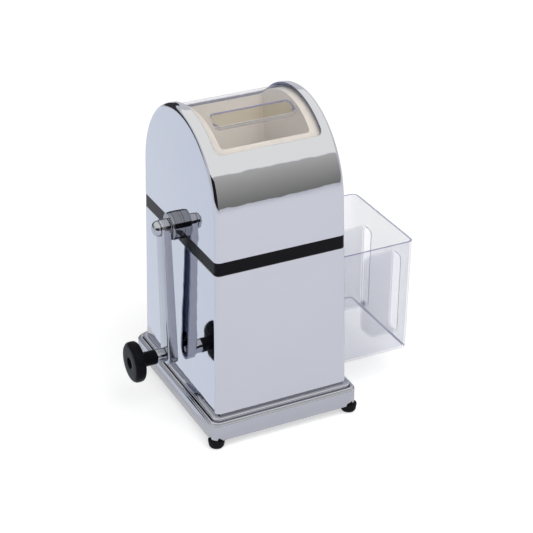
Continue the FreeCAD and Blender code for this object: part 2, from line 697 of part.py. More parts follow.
foot = new_body("foot_seed")
FOOT = [
    ("0", "foot_screw_seat"),
    ("foot_bore", "foot_screw_seat"),
    ("foot_bore", "0"),
    ("foot_toe_radius - foot_toe_round", "0", "foot_toe_round"),
    ("foot_toe_radius", "foot_toe_round"),
    ("foot_top_radius", "base_bottom - foot_top_round", "foot_top_round"),
    ("foot_top_radius - foot_top_round", "base_bottom"),
    ("0", "base_bottom"),
]
revolve(foot, draw_outline(foot, "foot_profile", "XZ_Plane", FOOT), "V_Axis", "foot_turned")
foot_drill = rod("foot_drill", "Z", "screw_radius", "0", "base_bottom + 1")
foot_bored = boolean("Cut", "foot_bored", foot, foot_drill)
node("feet", group("feet_group", foot_bored, four_places("foot_place_across", "foot_place_along", "0")))


def screw(name, length, radius="screw_radius", head_radius="screw_head_radius", head_height="screw_head_height"):
    """A pan-head screw: the head's underside at the origin, the shank up along Z."""
    body = new_body(name)
    profile = [
        ("0", f"-{head_height}"),
        (f"{head_radius} - 0.8", f"-{head_height}", "0.8"),
        (head_radius, f"0.8 - {head_height}"),
        (head_radius, "0"),
        (radius, "0"),
        (radius, length),
        ("0", length),
    ]
    revolve(body, draw_outline(body, f"{name}_profile", "XZ_Plane", profile), "V_Axis", f"{name}_turned")
    slot_sketch = draw_outline(body, f"{name}_slot", "XY_Plane", rectangle("-0.4", "0.4", "-5", "5"), "0.8 - " + head_height)
    pocket(body, slot_sketch, "3", f"{name}_slot_cut")
    return body


foot_screw = screw("foot_screw_seed", "foot_screw_length")
node(
    "foot_screws",
    group("foot_screws_group", foot_screw, four_places("foot_place_across", "foot_place_along", "foot_screw_seat")),
)
case_screw = screw("case_screw_seed", "screw_length")
node(
    "base_screws",
    group("base_screws_group", case_screw, four_places("post_place_across", "post_place_along", "base_screw_seat")),
)
upside_down = FreeCAD.Placement(V(0, 0, 0), FreeCAD.Rotation(V(1, 0, 0), 180))
BAND_SCREW_SEAT = "band_bottom + ledge_thickness"
node(
    "band_screws",
    group(
        "band_screws_group",
        case_screw,
        [p.multiply(upside_down) for p in four_places("post_place_across", "post_place_along", BAND_SCREW_SEAT)],
    ),
)
housing_screw = screw("housing_screw_seed", "housing_screw_length")
node(
    "housing_screws",
    group("housing_screws_group", housing_screw, four_places("stud_place_across", "stud_place_along", "band_bottom")),
)

# Hopper: flange, upper half of the chamber, funnel and the arched flange that the lid rolls on


def loft(name, sections):
    """A straight-sided solid through rounded rectangles (half_x, half_y, radius, height)."""
    body = new_body(name)
    sketches = [
        draw_outline(body, f"{name}_section_{n}", "XY_Plane", rounded_rectangle(x, y, radius), height)
        for n, (x, y, radius, height) in enumerate(sections)
    ]
    feature = body.newObject("PartDesign::AdditiveLoft", f"{name}_loft")
    feature.Profile = sketches[0]
    feature.Sections = sketches[1:]
    feature.Ruled = True
    settle(feature)
    return body


RISE = "((funnel_end - chamber_top) / (mouth_height - chamber_top))"
FUNNEL_HALF_X = f"(chamber_half_length + (mouth_half_length - chamber_half_length) * {RISE})"
FUNNEL_HALF_Y = f"(chamber_half_depth + (mouth_half_depth - chamber_half_depth) * {RISE})"
funnel_cavity = loft(
    "funnel_cavity",
    [
        ("chamber_half_length", "chamber_half_depth", "chamber_corner", "hopper_seat - 3"),
        ("chamber_half_length", "chamber_half_depth", "chamber_corner", "chamber_top"),
        (FUNNEL_HALF_X, FUNNEL_HALF_Y, "mouth_corner", "funnel_end"),
    ],
)
funnel_block = loft(
    "funnel_block",
    [
        ("chamber_half_length + chamber_wall", "chamber_half_depth + chamber_wall", "chamber_corner + chamber_wall",
         "hopper_seat"),
        ("chamber_half_length + chamber_wall", "chamber_half_depth + chamber_wall", "chamber_corner + chamber_wall",
         "chamber_top"),
        (f"{FUNNEL_HALF_X} + chamber_wall", f"{FUNNEL_HALF_Y} + chamber_wall", "mouth_corner + chamber_wall",
         "funnel_end"),
    ],
)
saddle = new_body("saddle")
SADDLE_INNER = "(saddle_radius - saddle_wall)"


def arc_strip(outer, inner, low_angle):
    """The section of an arched strip, the same on both sides of the middle."""
    points = []
    for radius, sign in ((outer, ""), (inner, "-")):
        end_y = f"{radius} * cos({low_angle})"
        end_z = f"{SPRING} + {radius} * sin({low_angle})"
        crown = ("0", f"{SPRING} + {radius}", sign + radius)
        ends = [(end_y, end_z), (f"-{end_y}", end_z)]
        if sign:
            ends.reverse()
        points += [(*ends[0], sign + radius), crown, ends[1]]
    return points


saddle_sketch = draw_outline(
    saddle, "saddle_section", "YZ_Plane", arc_strip("saddle_radius", SADDLE_INNER, "saddle_end_angle")
)
pad(saddle, saddle_sketch, "2 * saddle_half_length", "saddle_strip", both_ways=True)
saddle_barrel = rod("saddle_barrel", "X", "saddle_radius", "-70", "70", ("0", SPRING))
funnel_low = block("funnel_low", "-60", "60", "-60", "60", "hopper_seat", SPRING)
funnel_limit = boolean("MultiFuse", "funnel_limit", saddle_barrel, funnel_low)
funnel_trimmed = boolean("Common", "funnel_trimmed", funnel_block, funnel_limit)
flange = block(
    "hopper_flange_plate", "-hopper_half_length", "hopper_half_length", "-hopper_half_depth", "hopper_half_depth",
    "hopper_seat", "hopper_seat + hopper_flange",
)
bearing_left = block(
    "hopper_block_left", "-bearing_block", "-chamber_half_length", "-bearing_block_half", "bearing_block_half",
    "hopper_seat", "bearing_block_top",
)
bearing_right = block(
    "hopper_block_right", "chamber_half_length", "bearing_block", "-bearing_block_half", "bearing_block_half",
    "hopper_seat", "bearing_block_top",
)
pillar = rod("hopper_pillar", "Z", "pillar_radius", "hopper_seat", "band_top")
pillars = group("hopper_pillars", pillar, four_places("stud_place_across", "stud_place_along", "0"))
hopper_solid = boolean(
    "MultiFuse", "hopper_solid", funnel_trimmed, saddle, flange, bearing_left, bearing_right, pillars
)
hopper_hollow = boolean("Cut", "hopper_hollow", hopper_solid, funnel_cavity)
slot_box = block("bush_slot", "-70", "70", "-bush_radius", "bush_radius", "hopper_seat - 5", "shaft_height")
slot_round = shaft_hole("bush_slot_round", "bush_radius", "-70", "70")
bush_slots = boolean("MultiFuse", "bush_slots", slot_box, slot_round)
hopper_slotted = boolean("Cut", "hopper_slotted", hopper_hollow, bush_slots)
hopper_stud_holes = group(
    "hopper_stud_holes", stud_hole, four_places("stud_place_across", "stud_place_along", "0")
)
cradle_hole_seed = rod("cradle_hole_seed", "Z", "screw_radius", "cradle_seat - 2", "hopper_seat + hopper_flange + 1")
cradle_holes = group("cradle_hole_group", cradle_hole_seed, four_places("cradle_screw_across", "cradle_screw_along", "0"))
comb_hole_seed = rod("comb_hole_seed", "Y", "comb_screw_radius", "-40", "40", ("comb_screw_place", "comb_screw_height"))
comb_hole_other = rod("comb_hole_other", "Y", "comb_screw_radius", "-40", "40", ("-comb_screw_place", "comb_screw_height"))
hopper_holes = boolean(
    "MultiFuse", "hopper_holes", hopper_stud_holes, cradle_holes, comb_hole_seed, comb_hole_other
)
hopper_bored = boolean("Cut", "hopper_bored", hopper_slotted, hopper_holes)
node("hopper", hopper_bored)

# Cradle: lower half of the chamber with the chute, and tongues that close the bushes' slots

cradle_block = loft(
    "cradle_block",
    [
        ("chamber_half_length + chamber_wall", "chamber_half_depth + chamber_wall", "chamber_corner + chamber_wall",
         "cradle_bottom"),
        ("chamber_half_length + chamber_wall", "chamber_half_depth + chamber_wall", "chamber_corner + chamber_wall",
         "hopper_seat"),
    ],
)
cradle_cavity = loft(
    "cradle_cavity",
    [
        ("chamber_half_length", "chamber_half_depth", "chamber_corner", "cradle_bottom - 1"),
        ("chamber_half_length", "chamber_half_depth", "chamber_corner", "shaft_height"),
    ],
)
cradle_flange = block(
    "cradle_flange", "-cradle_half_length", "cradle_half_length", "-cradle_half_depth", "cradle_half_depth",
    "cradle_seat", "hopper_seat",
)
tongue_left = block(
    "tongue_left", "-bearing_block", "-chamber_half_length", "-bush_radius", "bush_radius", "cradle_seat", "shaft_height"
)
tongue_right = block(
    "tongue_right", "chamber_half_length", "bearing_block", "-bush_radius", "bush_radius", "cradle_seat", "shaft_height"
)
cradle_solid = boolean("MultiFuse", "cradle_solid", cradle_block, cradle_flange, tongue_left, tongue_right)
cradle_hollow = boolean("Cut", "cradle_hollow", cradle_solid, cradle_cavity)
cradle_bush_bed = boolean("Cut", "cradle_bush_bed", cradle_hollow, slot_round)
node("crusher_cradle", boolean("Cut", "cradle_finished", cradle_bush_bed, cradle_holes))
cradle_screw = screw("cradle_screw_seed", "hopper_seat + hopper_flange - cradle_seat")
node(
    "cradle_screws",
    group("cradle_screws_group", cradle_screw, four_places("cradle_screw_across", "cradle_screw_along", "cradle_seat")),
)

# Combs: plates on the chamber's walls with fingers between the wheels


def comb(name, back):
    """A plate with six fingers on the front wall, or on the back one."""
    body = new_body(name)
    sign = "" if back else "-"
    face, wall = f"{sign}(chamber_half_depth - comb_thickness)", f"{sign}chamber_half_depth"
    low, high = (face, wall) if back else (wall, face)
    plate = draw_outline(
        body, f"{name}_plate", "YZ_Plane",
        [(low, "comb_bottom"), (high, "comb_bottom"), (high, "comb_top"), (low, "comb_top")],
    )
    pad(body, plate, "2 * comb_half_length", f"{name}_plate_pad", both_ways=True)
    tip = f"{sign}finger_reach"
    corners = [
        (tip, "shaft_height - finger_half_tip"),
        (face, "shaft_height - finger_half_root"),
        (face, "shaft_height + finger_half_root"),
        (tip, "shaft_height + finger_half_tip"),
    ]
    last = "comb_half_length - finger_width / 2"
    for place, middle in enumerate((f"-({last})", "-1.5 * wheel_pitch", "-0.5 * wheel_pitch",
                                    "0.5 * wheel_pitch", "1.5 * wheel_pitch", last)):
        finger = draw_outline(body, f"{name}_finger_{place}", "YZ_Plane", corners, f"{middle} - finger_width / 2")
        pad(body, finger, "finger_width", f"{name}_finger_pad_{place}")
    drill = draw_circles(
        body, f"{name}_holes", "XZ_Plane",
        [("comb_screw_place", "comb_screw_height", "comb_screw_radius"),
         ("-comb_screw_place", "comb_screw_height", "comb_screw_radius")],
    )
    pocket(body, drill, "4 * chamber_half_depth", f"{name}_drilled", both_ways=True)
    return body


node("front_comb", comb("front_comb_body", back=False))
node("rear_comb", comb("rear_comb_body", back=True))
comb_screw = screw(
    "comb_screw_seed", "chamber_wall + comb_thickness", "comb_screw_radius", "comb_screw_head", "comb_screw_head_height"
)
wall_face = value("chamber_half_depth + chamber_wall")
comb_screw_places = []
for side in (-1, 1):
    turn = FreeCAD.Rotation(V(1, 0, 0), 90 * side)
    for x in (-1, 1):
        place = V(x * value("comb_screw_place"), side * wall_face, value("comb_screw_height"))
        comb_screw_places.append(FreeCAD.Placement(place, turn))
node("comb_screws", group("comb_screws_group", comb_screw, comb_screw_places))

# Boss and bushes


def turned(name, profile, height):
    """A piece turned about an axis along X at a height: profile corners are (x, radius)."""
    body = new_body(name)
    corners = [(corner[0], f"({corner[1]})", *corner[2:]) for corner in profile]
    revolve(body, draw_outline(body, f"{name}_profile", "XZ_Plane", corners), "H_Axis", f"{name}_turned")
    body.setExpression("Placement.Base.z", linked(height))
    return settle(body)


boss_turned = turned(
    "boss_blank",
    [
        ("-45", "bush_radius"),
        ("-45", "boss_radius"),
        (f"{BOSS_FACE} + boss_round", "boss_radius", "boss_round"),
        (BOSS_FACE, "boss_radius - boss_round"),
        (BOSS_FACE, "bush_radius"),
    ],
    "shaft_height",
)
node("shaft_boss", boolean("Cut", "boss_finished", boss_turned, outside))
BUSH_BORE = "shaft_radius + running_gap"
COLLAR_BACK = "-bearing_block - 0.3"
node(
    "crank_side_bush",
    turned(
        "crank_side_bush_body",
        [
            (BOSS_FACE, BUSH_BORE),
            ("-chamber_half_length", BUSH_BORE),
            ("-chamber_half_length", "bush_radius"),
            (COLLAR_BACK, "bush_radius"),
            (COLLAR_BACK, "bush_collar_radius"),
            (f"{COLLAR_BACK} - bush_collar", "bush_collar_radius"),
            (f"{COLLAR_BACK} - bush_collar", "bush_radius"),
            (BOSS_FACE, "bush_radius"),
        ],
        "shaft_height",
    ),
)
node(
    "bin_side_bush",
    turned(
        "bin_side_bush_body",
        [
            ("chamber_half_length", BUSH_BORE),
            ("bearing_block + bush_collar", BUSH_BORE),
            ("bearing_block + bush_collar", "bush_collar_radius"),
            ("bearing_block", "bush_collar_radius"),
            ("bearing_block", "bush_radius"),
            ("chamber_half_length", "bush_radius"),
        ],
        "shaft_height",
    ),
)

# Shaft: journals, a hexagonal middle, a spigot in the arm and a thread in the domed nut

SPIGOT_START = f"{ARM_INNER} + lean_gap"
THREAD_START = f"{ARM_OUTER} + 1"
shaft = new_body("shaft_body")
LEFT_HALF = [
    (f"{ARM_OUTER} - 3", "0"),
    ("-hexagon_end", "0"),
    ("-hexagon_end", "shaft_radius"),
    (SPIGOT_START, "shaft_radius"),
    (SPIGOT_START, "spigot_radius"),
    (THREAD_START, "spigot_radius"),
    (THREAD_START, "thread_radius"),
    (f"{ARM_OUTER} - 3", "thread_radius"),
]
RIGHT_HALF = [
    ("hexagon_end", "0"),
    ("shaft_end", "0"),
    ("shaft_end", "shaft_radius"),
    ("clip_place", "shaft_radius"),
    ("clip_place", "clip_groove"),
    ("clip_place - clip_thickness", "clip_groove"),
    ("clip_place - clip_thickness", "shaft_radius"),
    ("hexagon_end", "shaft_radius"),
]


def hexagon(half_flats):
    """The corners of a hexagon round the sketch's origin, flat side up."""
    return [(f"({half_flats}) / cos(30) * cos({60 * n})", f"({half_flats}) / cos(30) * sin({60 * n})") for n in range(6)]


hex_sketch = draw_outline(shaft, "shaft_hexagon", "YZ_Plane", hexagon("hexagon_half"), "-hexagon_end")
pad(shaft, hex_sketch, "2 * hexagon_end", "shaft_middle")
for half, corners in (("crank_side", LEFT_HALF), ("bin_side", RIGHT_HALF)):
    journal = draw_outline(shaft, f"shaft_{half}_profile", "XZ_Plane", corners)
    revolve(shaft, journal, "H_Axis", f"shaft_{half}_turned")
shaft.setExpression("Placement.Base.z", linked("shaft_height"))
node("drive_shaft", settle(shaft))
clip = new_body("clip_body")
clip_sketch = draw_circles(clip, "clip_outline", "YZ_Plane", [("0", "0", "clip_radius")], "clip_place - clip_thickness")
pad(clip, clip_sketch, "clip_thickness", "clip_disc")
clip_slot = draw_outline(
    clip, "clip_slot", "YZ_Plane",
    [
        ("-clip_groove", "-clip_radius - 1"),
        ("clip_groove", "-clip_radius - 1"),
        ("clip_groove", "0", "clip_groove"),
        ("0", "clip_groove", "clip_groove"),
        ("-clip_groove", "0"),
    ],
    "clip_place",
)
pocket(clip, clip_slot, "clip_thickness", "clip_opened")
clip.setExpression("Placement.Base.z", linked("shaft_height"))
node("shaft_clip", settle(clip))

# Toothed wheels and the sleeves between them

wheel = new_body("wheel_seed")
disc = draw_circles(wheel, "wheel_disc_outline", "YZ_Plane", [("0", "0", "wheel_root")], "-wheel_thickness / 2")
pad(wheel, disc, "wheel_thickness", "wheel_disc")
TOOTH = [
    ("(wheel_root - 1) * cos(-tooth_back_angle)", "(wheel_root - 1) * sin(-tooth_back_angle)", "tooth_back_curve"),
    ("wheel_tip", "0"),
    ("(wheel_root - 1) * cos(tooth_face_angle)", "(wheel_root - 1) * sin(tooth_face_angle)"),
]
tooth_sketch = draw_outline(wheel, "tooth_outline", "YZ_Plane", TOOTH, "-wheel_thickness / 2")
tooth = pad(wheel, tooth_sketch, "wheel_thickness", "tooth")
teeth = wheel.newObject("PartDesign::PolarPattern", "teeth")
teeth.Originals = [tooth]
teeth.Axis = (plane(wheel, "X_Axis"), [""])
teeth.Angle = 360
teeth.setExpression("Occurrences", linked("tooth_count"))
wheel.Tip = teeth
settle(teeth)
wheel_bore = draw_outline(wheel, "wheel_bore", "YZ_Plane", hexagon("hexagon_half"), "wheel_thickness")
pocket(wheel, wheel_bore, "2 * wheel_thickness", "wheel_bored")
WHEELS = (-2, -1, 0, 1, 2)


def on_the_shaft(place, turn=0.0):
    """A placement on the crank's axis."""
    return FreeCAD.Placement(V(place, 0, value("shaft_height")), FreeCAD.Rotation(V(1, 0, 0), turn))


node(
    "crusher_wheels",
    group(
        "crusher_wheels_group", wheel,
        [on_the_shaft(n * value("wheel_pitch"), n * value("wheel_twist")) for n in WHEELS],
    ),
)


def sleeve(name, length):
    """A round sleeve with a hexagonal bore, from the origin along X."""
    body = new_body(name)
    outline = draw_circles(body, f"{name}_outline", "YZ_Plane", [("0", "0", "spacer_radius")])
    pad(body, outline, length, f"{name}_pad")
    bore = draw_outline(body, f"{name}_bore", "YZ_Plane", hexagon("hexagon_half"), f"{length} + 1")
    pocket(body, bore, f"{length} + 2", f"{name}_bored")
    return body


inner_sleeve = sleeve("inner_sleeve", "wheel_pitch - wheel_thickness")
END_SLEEVE = "hexagon_end - 2 * wheel_pitch - wheel_thickness / 2"
end_sleeve = sleeve("end_sleeve", END_SLEEVE)
inner_group = group(
    "inner_sleeves", inner_sleeve,
    [on_the_shaft(n * value("wheel_pitch") + value("wheel_thickness / 2")) for n in WHEELS[:-1]],
)
end_group = group(
    "end_sleeves", end_sleeve,
    [on_the_shaft(-value("hexagon_end")), on_the_shaft(value(f"hexagon_end - ({END_SLEEVE})"))],
)
spacers = doc.addObject("Part::Compound", "spacers")
spacers.Links = [inner_group, end_group]
node("wheel_spacers", settle(spacers))

# Crank arm: a channel with round ends, which leans in towards its lower end


def arm_solid(name, inset, cut_web):
    """The arm's outline, drawn in by an inset, between its inner face and the outer face or web."""
    body = new_body(name)
    top_radius, bottom_radius = f"(arm_top_radius - {inset})", f"(arm_bottom_radius - {inset})"
    outline = [
        (f"-{top_radius}", "shaft_height"),
        (f"-{bottom_radius}", DOWN, bottom_radius),
        ("0", f"{DOWN} - {bottom_radius}", bottom_radius),
        (bottom_radius, DOWN),
        (top_radius, "shaft_height", top_radius),
        ("0", f"shaft_height + {top_radius}", top_radius),
    ]
    front = draw_outline(body, f"{name}_outline", "YZ_Plane", outline, "-100")
    prism = pad(body, front, "60", f"{name}_prism")
    web = "arm_wall" if cut_web else "0"
    slope_low, slope_high = f"{DOWN} - 20", "shaft_height + 20"
    run = "((crank_radius + 20) / crank_radius)"
    inner_low = f"({ARM_INNER} + arm_lean * {run} + {'2' if cut_web else '0'})"
    inner_high = f"({ARM_INNER_DOWN} - arm_lean * {run} + {'2' if cut_web else '0'})"
    depth_step = "(arm_depth_top - arm_depth_bottom)"
    outer_low = f"({ARM_OUTER} + (arm_lean + {depth_step}) * {run} + {web})"
    outer_high = f"({ARM_OUTER_DOWN} - (arm_lean + {depth_step}) * {run} + {web})"
    inner_waste = [(inner_low, slope_low), ("-30", slope_low), ("-30", slope_high), (inner_high, slope_high)]
    outer_waste = [("-110", slope_low), (outer_low, slope_low), (outer_high, slope_high), ("-110", slope_high)]
    for place, corners in enumerate((inner_waste, outer_waste)):
        cut = draw_outline(body, f"{name}_waste_{place}", "XZ_Plane", corners)
        prism = pocket(body, cut, "60", f"{name}_trim_{place}", both_ways=True)
    return body, prism


arm, arm_prism = arm_solid("arm_blank", "0", cut_web=False)
arm_outer_limit = value(f"{ARM_OUTER} + 4")


def on_the_outer_face(edge):
    return edge.BoundBox.XMax < arm_outer_limit


fillet(arm, arm_prism, "arm_edge", on_the_outer_face, "arm_rounding")
channel, channel_prism = arm_solid("arm_channel", "arm_wall", cut_web=True)
lug_top = rod("arm_lug_top", "X", "arm_top_radius", "-100", "-50", ("0", "shaft_height"))
lug_down = rod("arm_lug_down", "X", "arm_lug_radius", "-100", "-50", ("0", DOWN))
lugs = boolean("MultiFuse", "arm_lugs", lug_top, lug_down)
channel_clear = boolean("Cut", "arm_channel_clear", channel, lugs)
arm_hollow = boolean("Cut", "arm_hollow", arm, channel_clear)
spigot_hole = boolean(
    "MultiFuse",
    "arm_spigot_hole",
    shaft_hole("arm_spigot_bore", "spigot_radius", "-100", THREAD_START),
    rod("arm_spindle_bore", "X", "spindle_thread_radius", "-100", "-50", ("0", DOWN)),
    shaft_hole("arm_spigot_wide", "spigot_radius", THREAD_START, "-50"),
)
node("crank_arm", boolean("Cut", "arm_finished", arm_hollow, spigot_hole))
node(
    "shaft_washer",
    turned(
        "shaft_washer_body",
        [
            (f"{ARM_INNER} + lean_gap", "shaft_radius"),
            (f"{ARM_INNER} + lean_gap + washer_thickness", "shaft_radius"),
            (f"{ARM_INNER} + lean_gap + washer_thickness", "washer_radius"),
            (f"{ARM_INNER} + lean_gap", "washer_radius"),
        ],
        "shaft_height",
    ),
)
DOME_RADIUS = "((nut_radius ^ 2 + (nut_reach - nut_skirt) ^ 2) / (2 * (nut_reach - nut_skirt)))"
NUT_FACE = f"({ARM_OUTER} - lean_gap)"
node(
    "dome_nut",
    turned(
        "dome_nut_body",
        [
            (f"{ARM_OUTER} - nut_reach", "0", f"-{DOME_RADIUS}"),
            (f"{ARM_OUTER} - nut_skirt", "nut_radius"),
            (NUT_FACE, "nut_radius"),
            (NUT_FACE, "thread_radius"),
            (f"{ARM_OUTER} - 3", "thread_radius"),
            (f"{ARM_OUTER} - 3", "0"),
        ],
        "shaft_height",
    ),
)

# Ferrule, spindle and knob, on the knob's axis

COLLAR_START = f"({ARM_OUTER_DOWN} - collar_length)"
STEM_START = f"({COLLAR_START} - end_play)"
DISC_INNER = f"({STEM_START} - stem_length)"
DISC_OUTER = f"({DISC_INNER} - disc_thickness)"
DIMPLE_FLOOR = f"({DISC_OUTER} + dimple_depth)"
HEAD_FACE = f"({DIMPLE_FLOOR} - end_play)"
node(
    "handle_collar",
    turned(
        "handle_collar_body",
        [
            (COLLAR_START, "spindle_radius"),
            (f"{ARM_OUTER_DOWN} - lean_gap", "spindle_radius"),
            (f"{ARM_OUTER_DOWN} - lean_gap", "collar_radius"),
            (f"{COLLAR_START} + 0.6", "collar_radius", "0.6"),
            (COLLAR_START, "collar_radius - 0.6"),
        ],
        DOWN,
    ),
)
node(
    "handle_spindle",
    turned(
        "handle_spindle_body",
        [
            (f"{HEAD_FACE} - spindle_head_height", "0"),
            (f"{ARM_INNER_DOWN} - 0.5", "0"),
            (f"{ARM_INNER_DOWN} - 0.5", "spindle_thread_radius"),
            (f"{ARM_OUTER_DOWN} - lean_gap", "spindle_thread_radius"),
            (f"{ARM_OUTER_DOWN} - lean_gap", "spindle_radius"),
            (HEAD_FACE, "spindle_radius"),
            (HEAD_FACE, "spindle_head_radius"),
            (f"{HEAD_FACE} - spindle_head_height + 0.8", "spindle_head_radius", "0.8"),
            (f"{HEAD_FACE} - spindle_head_height", "spindle_head_radius - 0.8"),
        ],
        DOWN,
    ),
)
KNOB_BORE = "spindle_radius + running_gap"
node(
    "knob",
    turned(
        "knob_body",
        [
            (STEM_START, KNOB_BORE),
            (STEM_START, "stem_radius"),
            (DISC_INNER, "stem_radius"),
            (DISC_INNER, "disc_radius - disc_round_inner", "disc_round_inner"),
            (f"{DISC_INNER} - disc_round_inner", "disc_radius"),
            (f"{DISC_OUTER} + disc_round_outer", "disc_radius", "disc_round_outer"),
            (DISC_OUTER, "disc_radius - disc_round_outer"),
            (DISC_OUTER, "dimple_radius"),
            (DIMPLE_FLOOR, "dimple_radius"),
            (DIMPLE_FLOOR, KNOB_BORE),
        ],
        DOWN,
    ),
)

# Lid: an arched strip with a finger pocket pressed into it

lid = new_body("lid_body")
LID_INNER = "(lid_radius - lid_wall)"
lid_sketch = draw_outline(lid, "lid_section", "YZ_Plane", arc_strip("lid_radius", LID_INNER, "lid_end_angle"))
pad(lid, lid_sketch, "2 * lid_half_length", "lid_strip", both_ways=True)


def polar(radius, angle):
    """A point on the arch's front half, for a sketch on the YZ plane."""
    return (f"-({radius}) * cos({angle})", f"{SPRING} + ({radius}) * sin({angle})")


POCKET_WALL = [
    polar("lid_radius", "pocket_high_angle + 1"),
    polar(LID_INNER, "pocket_high_angle + 1"),
    polar("lid_radius - pocket_depth - lid_wall", "pocket_low_angle - 1.4"),
    polar("lid_radius", "pocket_low_angle - 1.4"),
]
pocket_shell = draw_outline(lid, "lid_pocket_shell", "YZ_Plane", list(reversed(POCKET_WALL)))
pad(lid, pocket_shell, "2 * (pocket_half_length + lid_wall)", "lid_pocket_block", both_ways=True)
POCKET_SPACE = [
    polar("lid_radius + 3", "pocket_high_angle"),
    polar("lid_radius - 0.3", "pocket_high_angle"),
    polar("lid_radius - pocket_depth", "pocket_low_angle"),
    polar("lid_radius + 3", "pocket_low_angle"),
]
pocket_space = draw_outline(lid, "lid_pocket_space", "YZ_Plane", list(reversed(POCKET_SPACE)))
pocket(lid, pocket_space, "2 * pocket_half_length", "lid_pocket", both_ways=True)
node("lid", lid)

# Ice bin: a tapered, open box with a finger trough in each long side


def bin_solid(name, inset, bottom, top):
    """The bin's tapered outline, drawn in by an inset, between two heights."""
    body = new_body(name)
    middle = "bin_outer_end - bin_length / 2"
    half_x, half_y = f"bin_length / 2 - {inset}", f"bin_half_width - {inset}"
    corners = rounded_rectangle(half_x, half_y, f"bin_corner - {inset}", middle)
    rim = draw_outline(body, f"{name}_rim", "XY_Plane", corners, top)
    feature = body.newObject("PartDesign::Pad", f"{name}_block")
    feature.Profile = rim
    feature.Reversed = True
    taper = "-atan(bin_taper / (bin_rim - bin_bottom))"
    settle(bind(feature, Length=f"({top}) - ({bottom})", TaperAngle=taper))
    low = value(bottom)

    def at_the_floor(edge):
        return edge.BoundBox.ZMax < low + 1e-3

    fillet(body, feature, f"bin_floor_round - {inset} / 2", at_the_floor, f"{name}_floor_round")
    return body


def trough(name, side, grown):
    """A finger trough's space on one side, grown by a wall's thickness."""
    body = new_body(name)
    middle = "bin_outer_end - trough_place"
    height = "(trough_top + trough_bottom) / 2"
    corners = rounded_rectangle(
        f"trough_half_width + {grown}", f"(trough_top - trough_bottom) / 2 + {grown}", f"trough_corner + {grown}",
        middle, height,
    )
    floor = f"(trough_floor - {grown})"
    reach = "(bin_half_width + 8)"
    start = floor if side < 0 else f"-{reach}"
    sketch = draw_outline(body, f"{name}_outline", "XZ_Plane", corners, start)
    prism = pad(body, sketch, f"{reach} - {floor}", f"{name}_prism")
    edge_place = side * value(floor)

    def at_the_floor(edge):
        box = edge.BoundBox
        return abs(box.YMin - edge_place) < 1e-3 and abs(box.YMax - edge_place) < 1e-3

    fillet(body, prism, f"trough_round + {grown}", at_the_floor, f"{name}_round")
    return body


bin_outer = bin_solid("bin_outer", "0", "bin_bottom", "bin_rim")
bin_inner = bin_solid("bin_inner", "bin_wall", "bin_bottom + bin_floor", "bin_rim + 5")
troughs_out = boolean("MultiFuse", "troughs_out", trough("trough_front", -1, "0"), trough("trough_back", 1, "0"))
troughs_in = boolean(
    "MultiFuse", "troughs_in", trough("trough_front_wall", -1, "bin_wall"), trough("trough_back_wall", 1, "bin_wall")
)
bin_pressed = boolean("Cut", "bin_pressed", bin_outer, troughs_out)
bin_space = boolean("Cut", "bin_space", bin_inner, troughs_in)
node("ice_bin", boolean("Cut", "bin_finished", bin_pressed, bin_space))

# Check every object, then write each node's shape

doc.recompute()
for item in doc.Objects:
    if {"Invalid", "Error"} & set(item.State):
        raise ValueError(f"{item.Label} is in state {item.State}")
os.makedirs("parts", exist_ok=True)
for name, piece in NODES.items():
    shape = piece.Shape
    if shape.isNull() or not shape.isValid() or not shape.Solids:
        raise ValueError(f"{name} has no valid solid")
    shape.exportStep(os.path.join("parts", f"{name}.step"))
    print(f"{name}: {len(shape.Solids)} solids, {shape.Volume / 1000:.2f} cm3")
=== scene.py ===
"""Looks of the hand cranked ice crusher: its pieces, finishes, light and camera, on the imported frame."""

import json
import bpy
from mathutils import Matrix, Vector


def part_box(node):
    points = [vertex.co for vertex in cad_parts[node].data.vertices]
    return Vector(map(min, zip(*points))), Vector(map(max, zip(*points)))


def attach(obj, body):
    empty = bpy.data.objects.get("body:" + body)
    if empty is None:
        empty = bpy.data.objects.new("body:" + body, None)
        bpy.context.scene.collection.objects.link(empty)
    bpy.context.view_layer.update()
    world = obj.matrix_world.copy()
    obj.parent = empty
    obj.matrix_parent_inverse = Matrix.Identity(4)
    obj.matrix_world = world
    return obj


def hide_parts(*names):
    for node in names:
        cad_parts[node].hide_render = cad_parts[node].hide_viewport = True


bl_info = {
    "name": "Hand cranked ice crusher",
    "version": (1, 0, 0),
    "blender": (4, 5, 0),
    "location": "3D Viewport > Sidebar > Ice Crusher",
    "description": "Adds the ice crusher's pieces and finishes to its packed frame",
    "category": "Add Mesh",
}

from math import atan2, cos, hypot, pi, radians, sin, tan

import bmesh
import bpy
from bpy.props import FloatProperty, FloatVectorProperty, IntProperty, PointerProperty
from mathutils import Matrix, Vector

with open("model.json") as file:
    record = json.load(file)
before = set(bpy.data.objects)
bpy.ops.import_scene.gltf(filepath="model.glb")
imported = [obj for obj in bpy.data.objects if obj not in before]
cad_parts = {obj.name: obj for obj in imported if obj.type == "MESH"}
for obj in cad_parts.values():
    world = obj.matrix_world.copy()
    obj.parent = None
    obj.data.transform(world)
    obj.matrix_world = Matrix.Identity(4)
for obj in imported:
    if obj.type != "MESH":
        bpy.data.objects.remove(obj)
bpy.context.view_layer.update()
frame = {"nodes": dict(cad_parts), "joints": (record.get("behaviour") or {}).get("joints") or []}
MM = 0.001

# Lengths in millimetres: how close two places count as one, how close two corners of a mesh are
# merged, and how far a cutter reaches past what it cuts
NEAR = 0.01
WELD_REACH = 0.002
PAST = 5.0

# Places and sizes read from the frame


def low(node):
    """Lowest corner of a CAD node, in millimetres."""
    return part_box(node)[0] / MM


def high(node):
    """Highest corner of a CAD node, in millimetres."""
    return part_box(node)[1] / MM


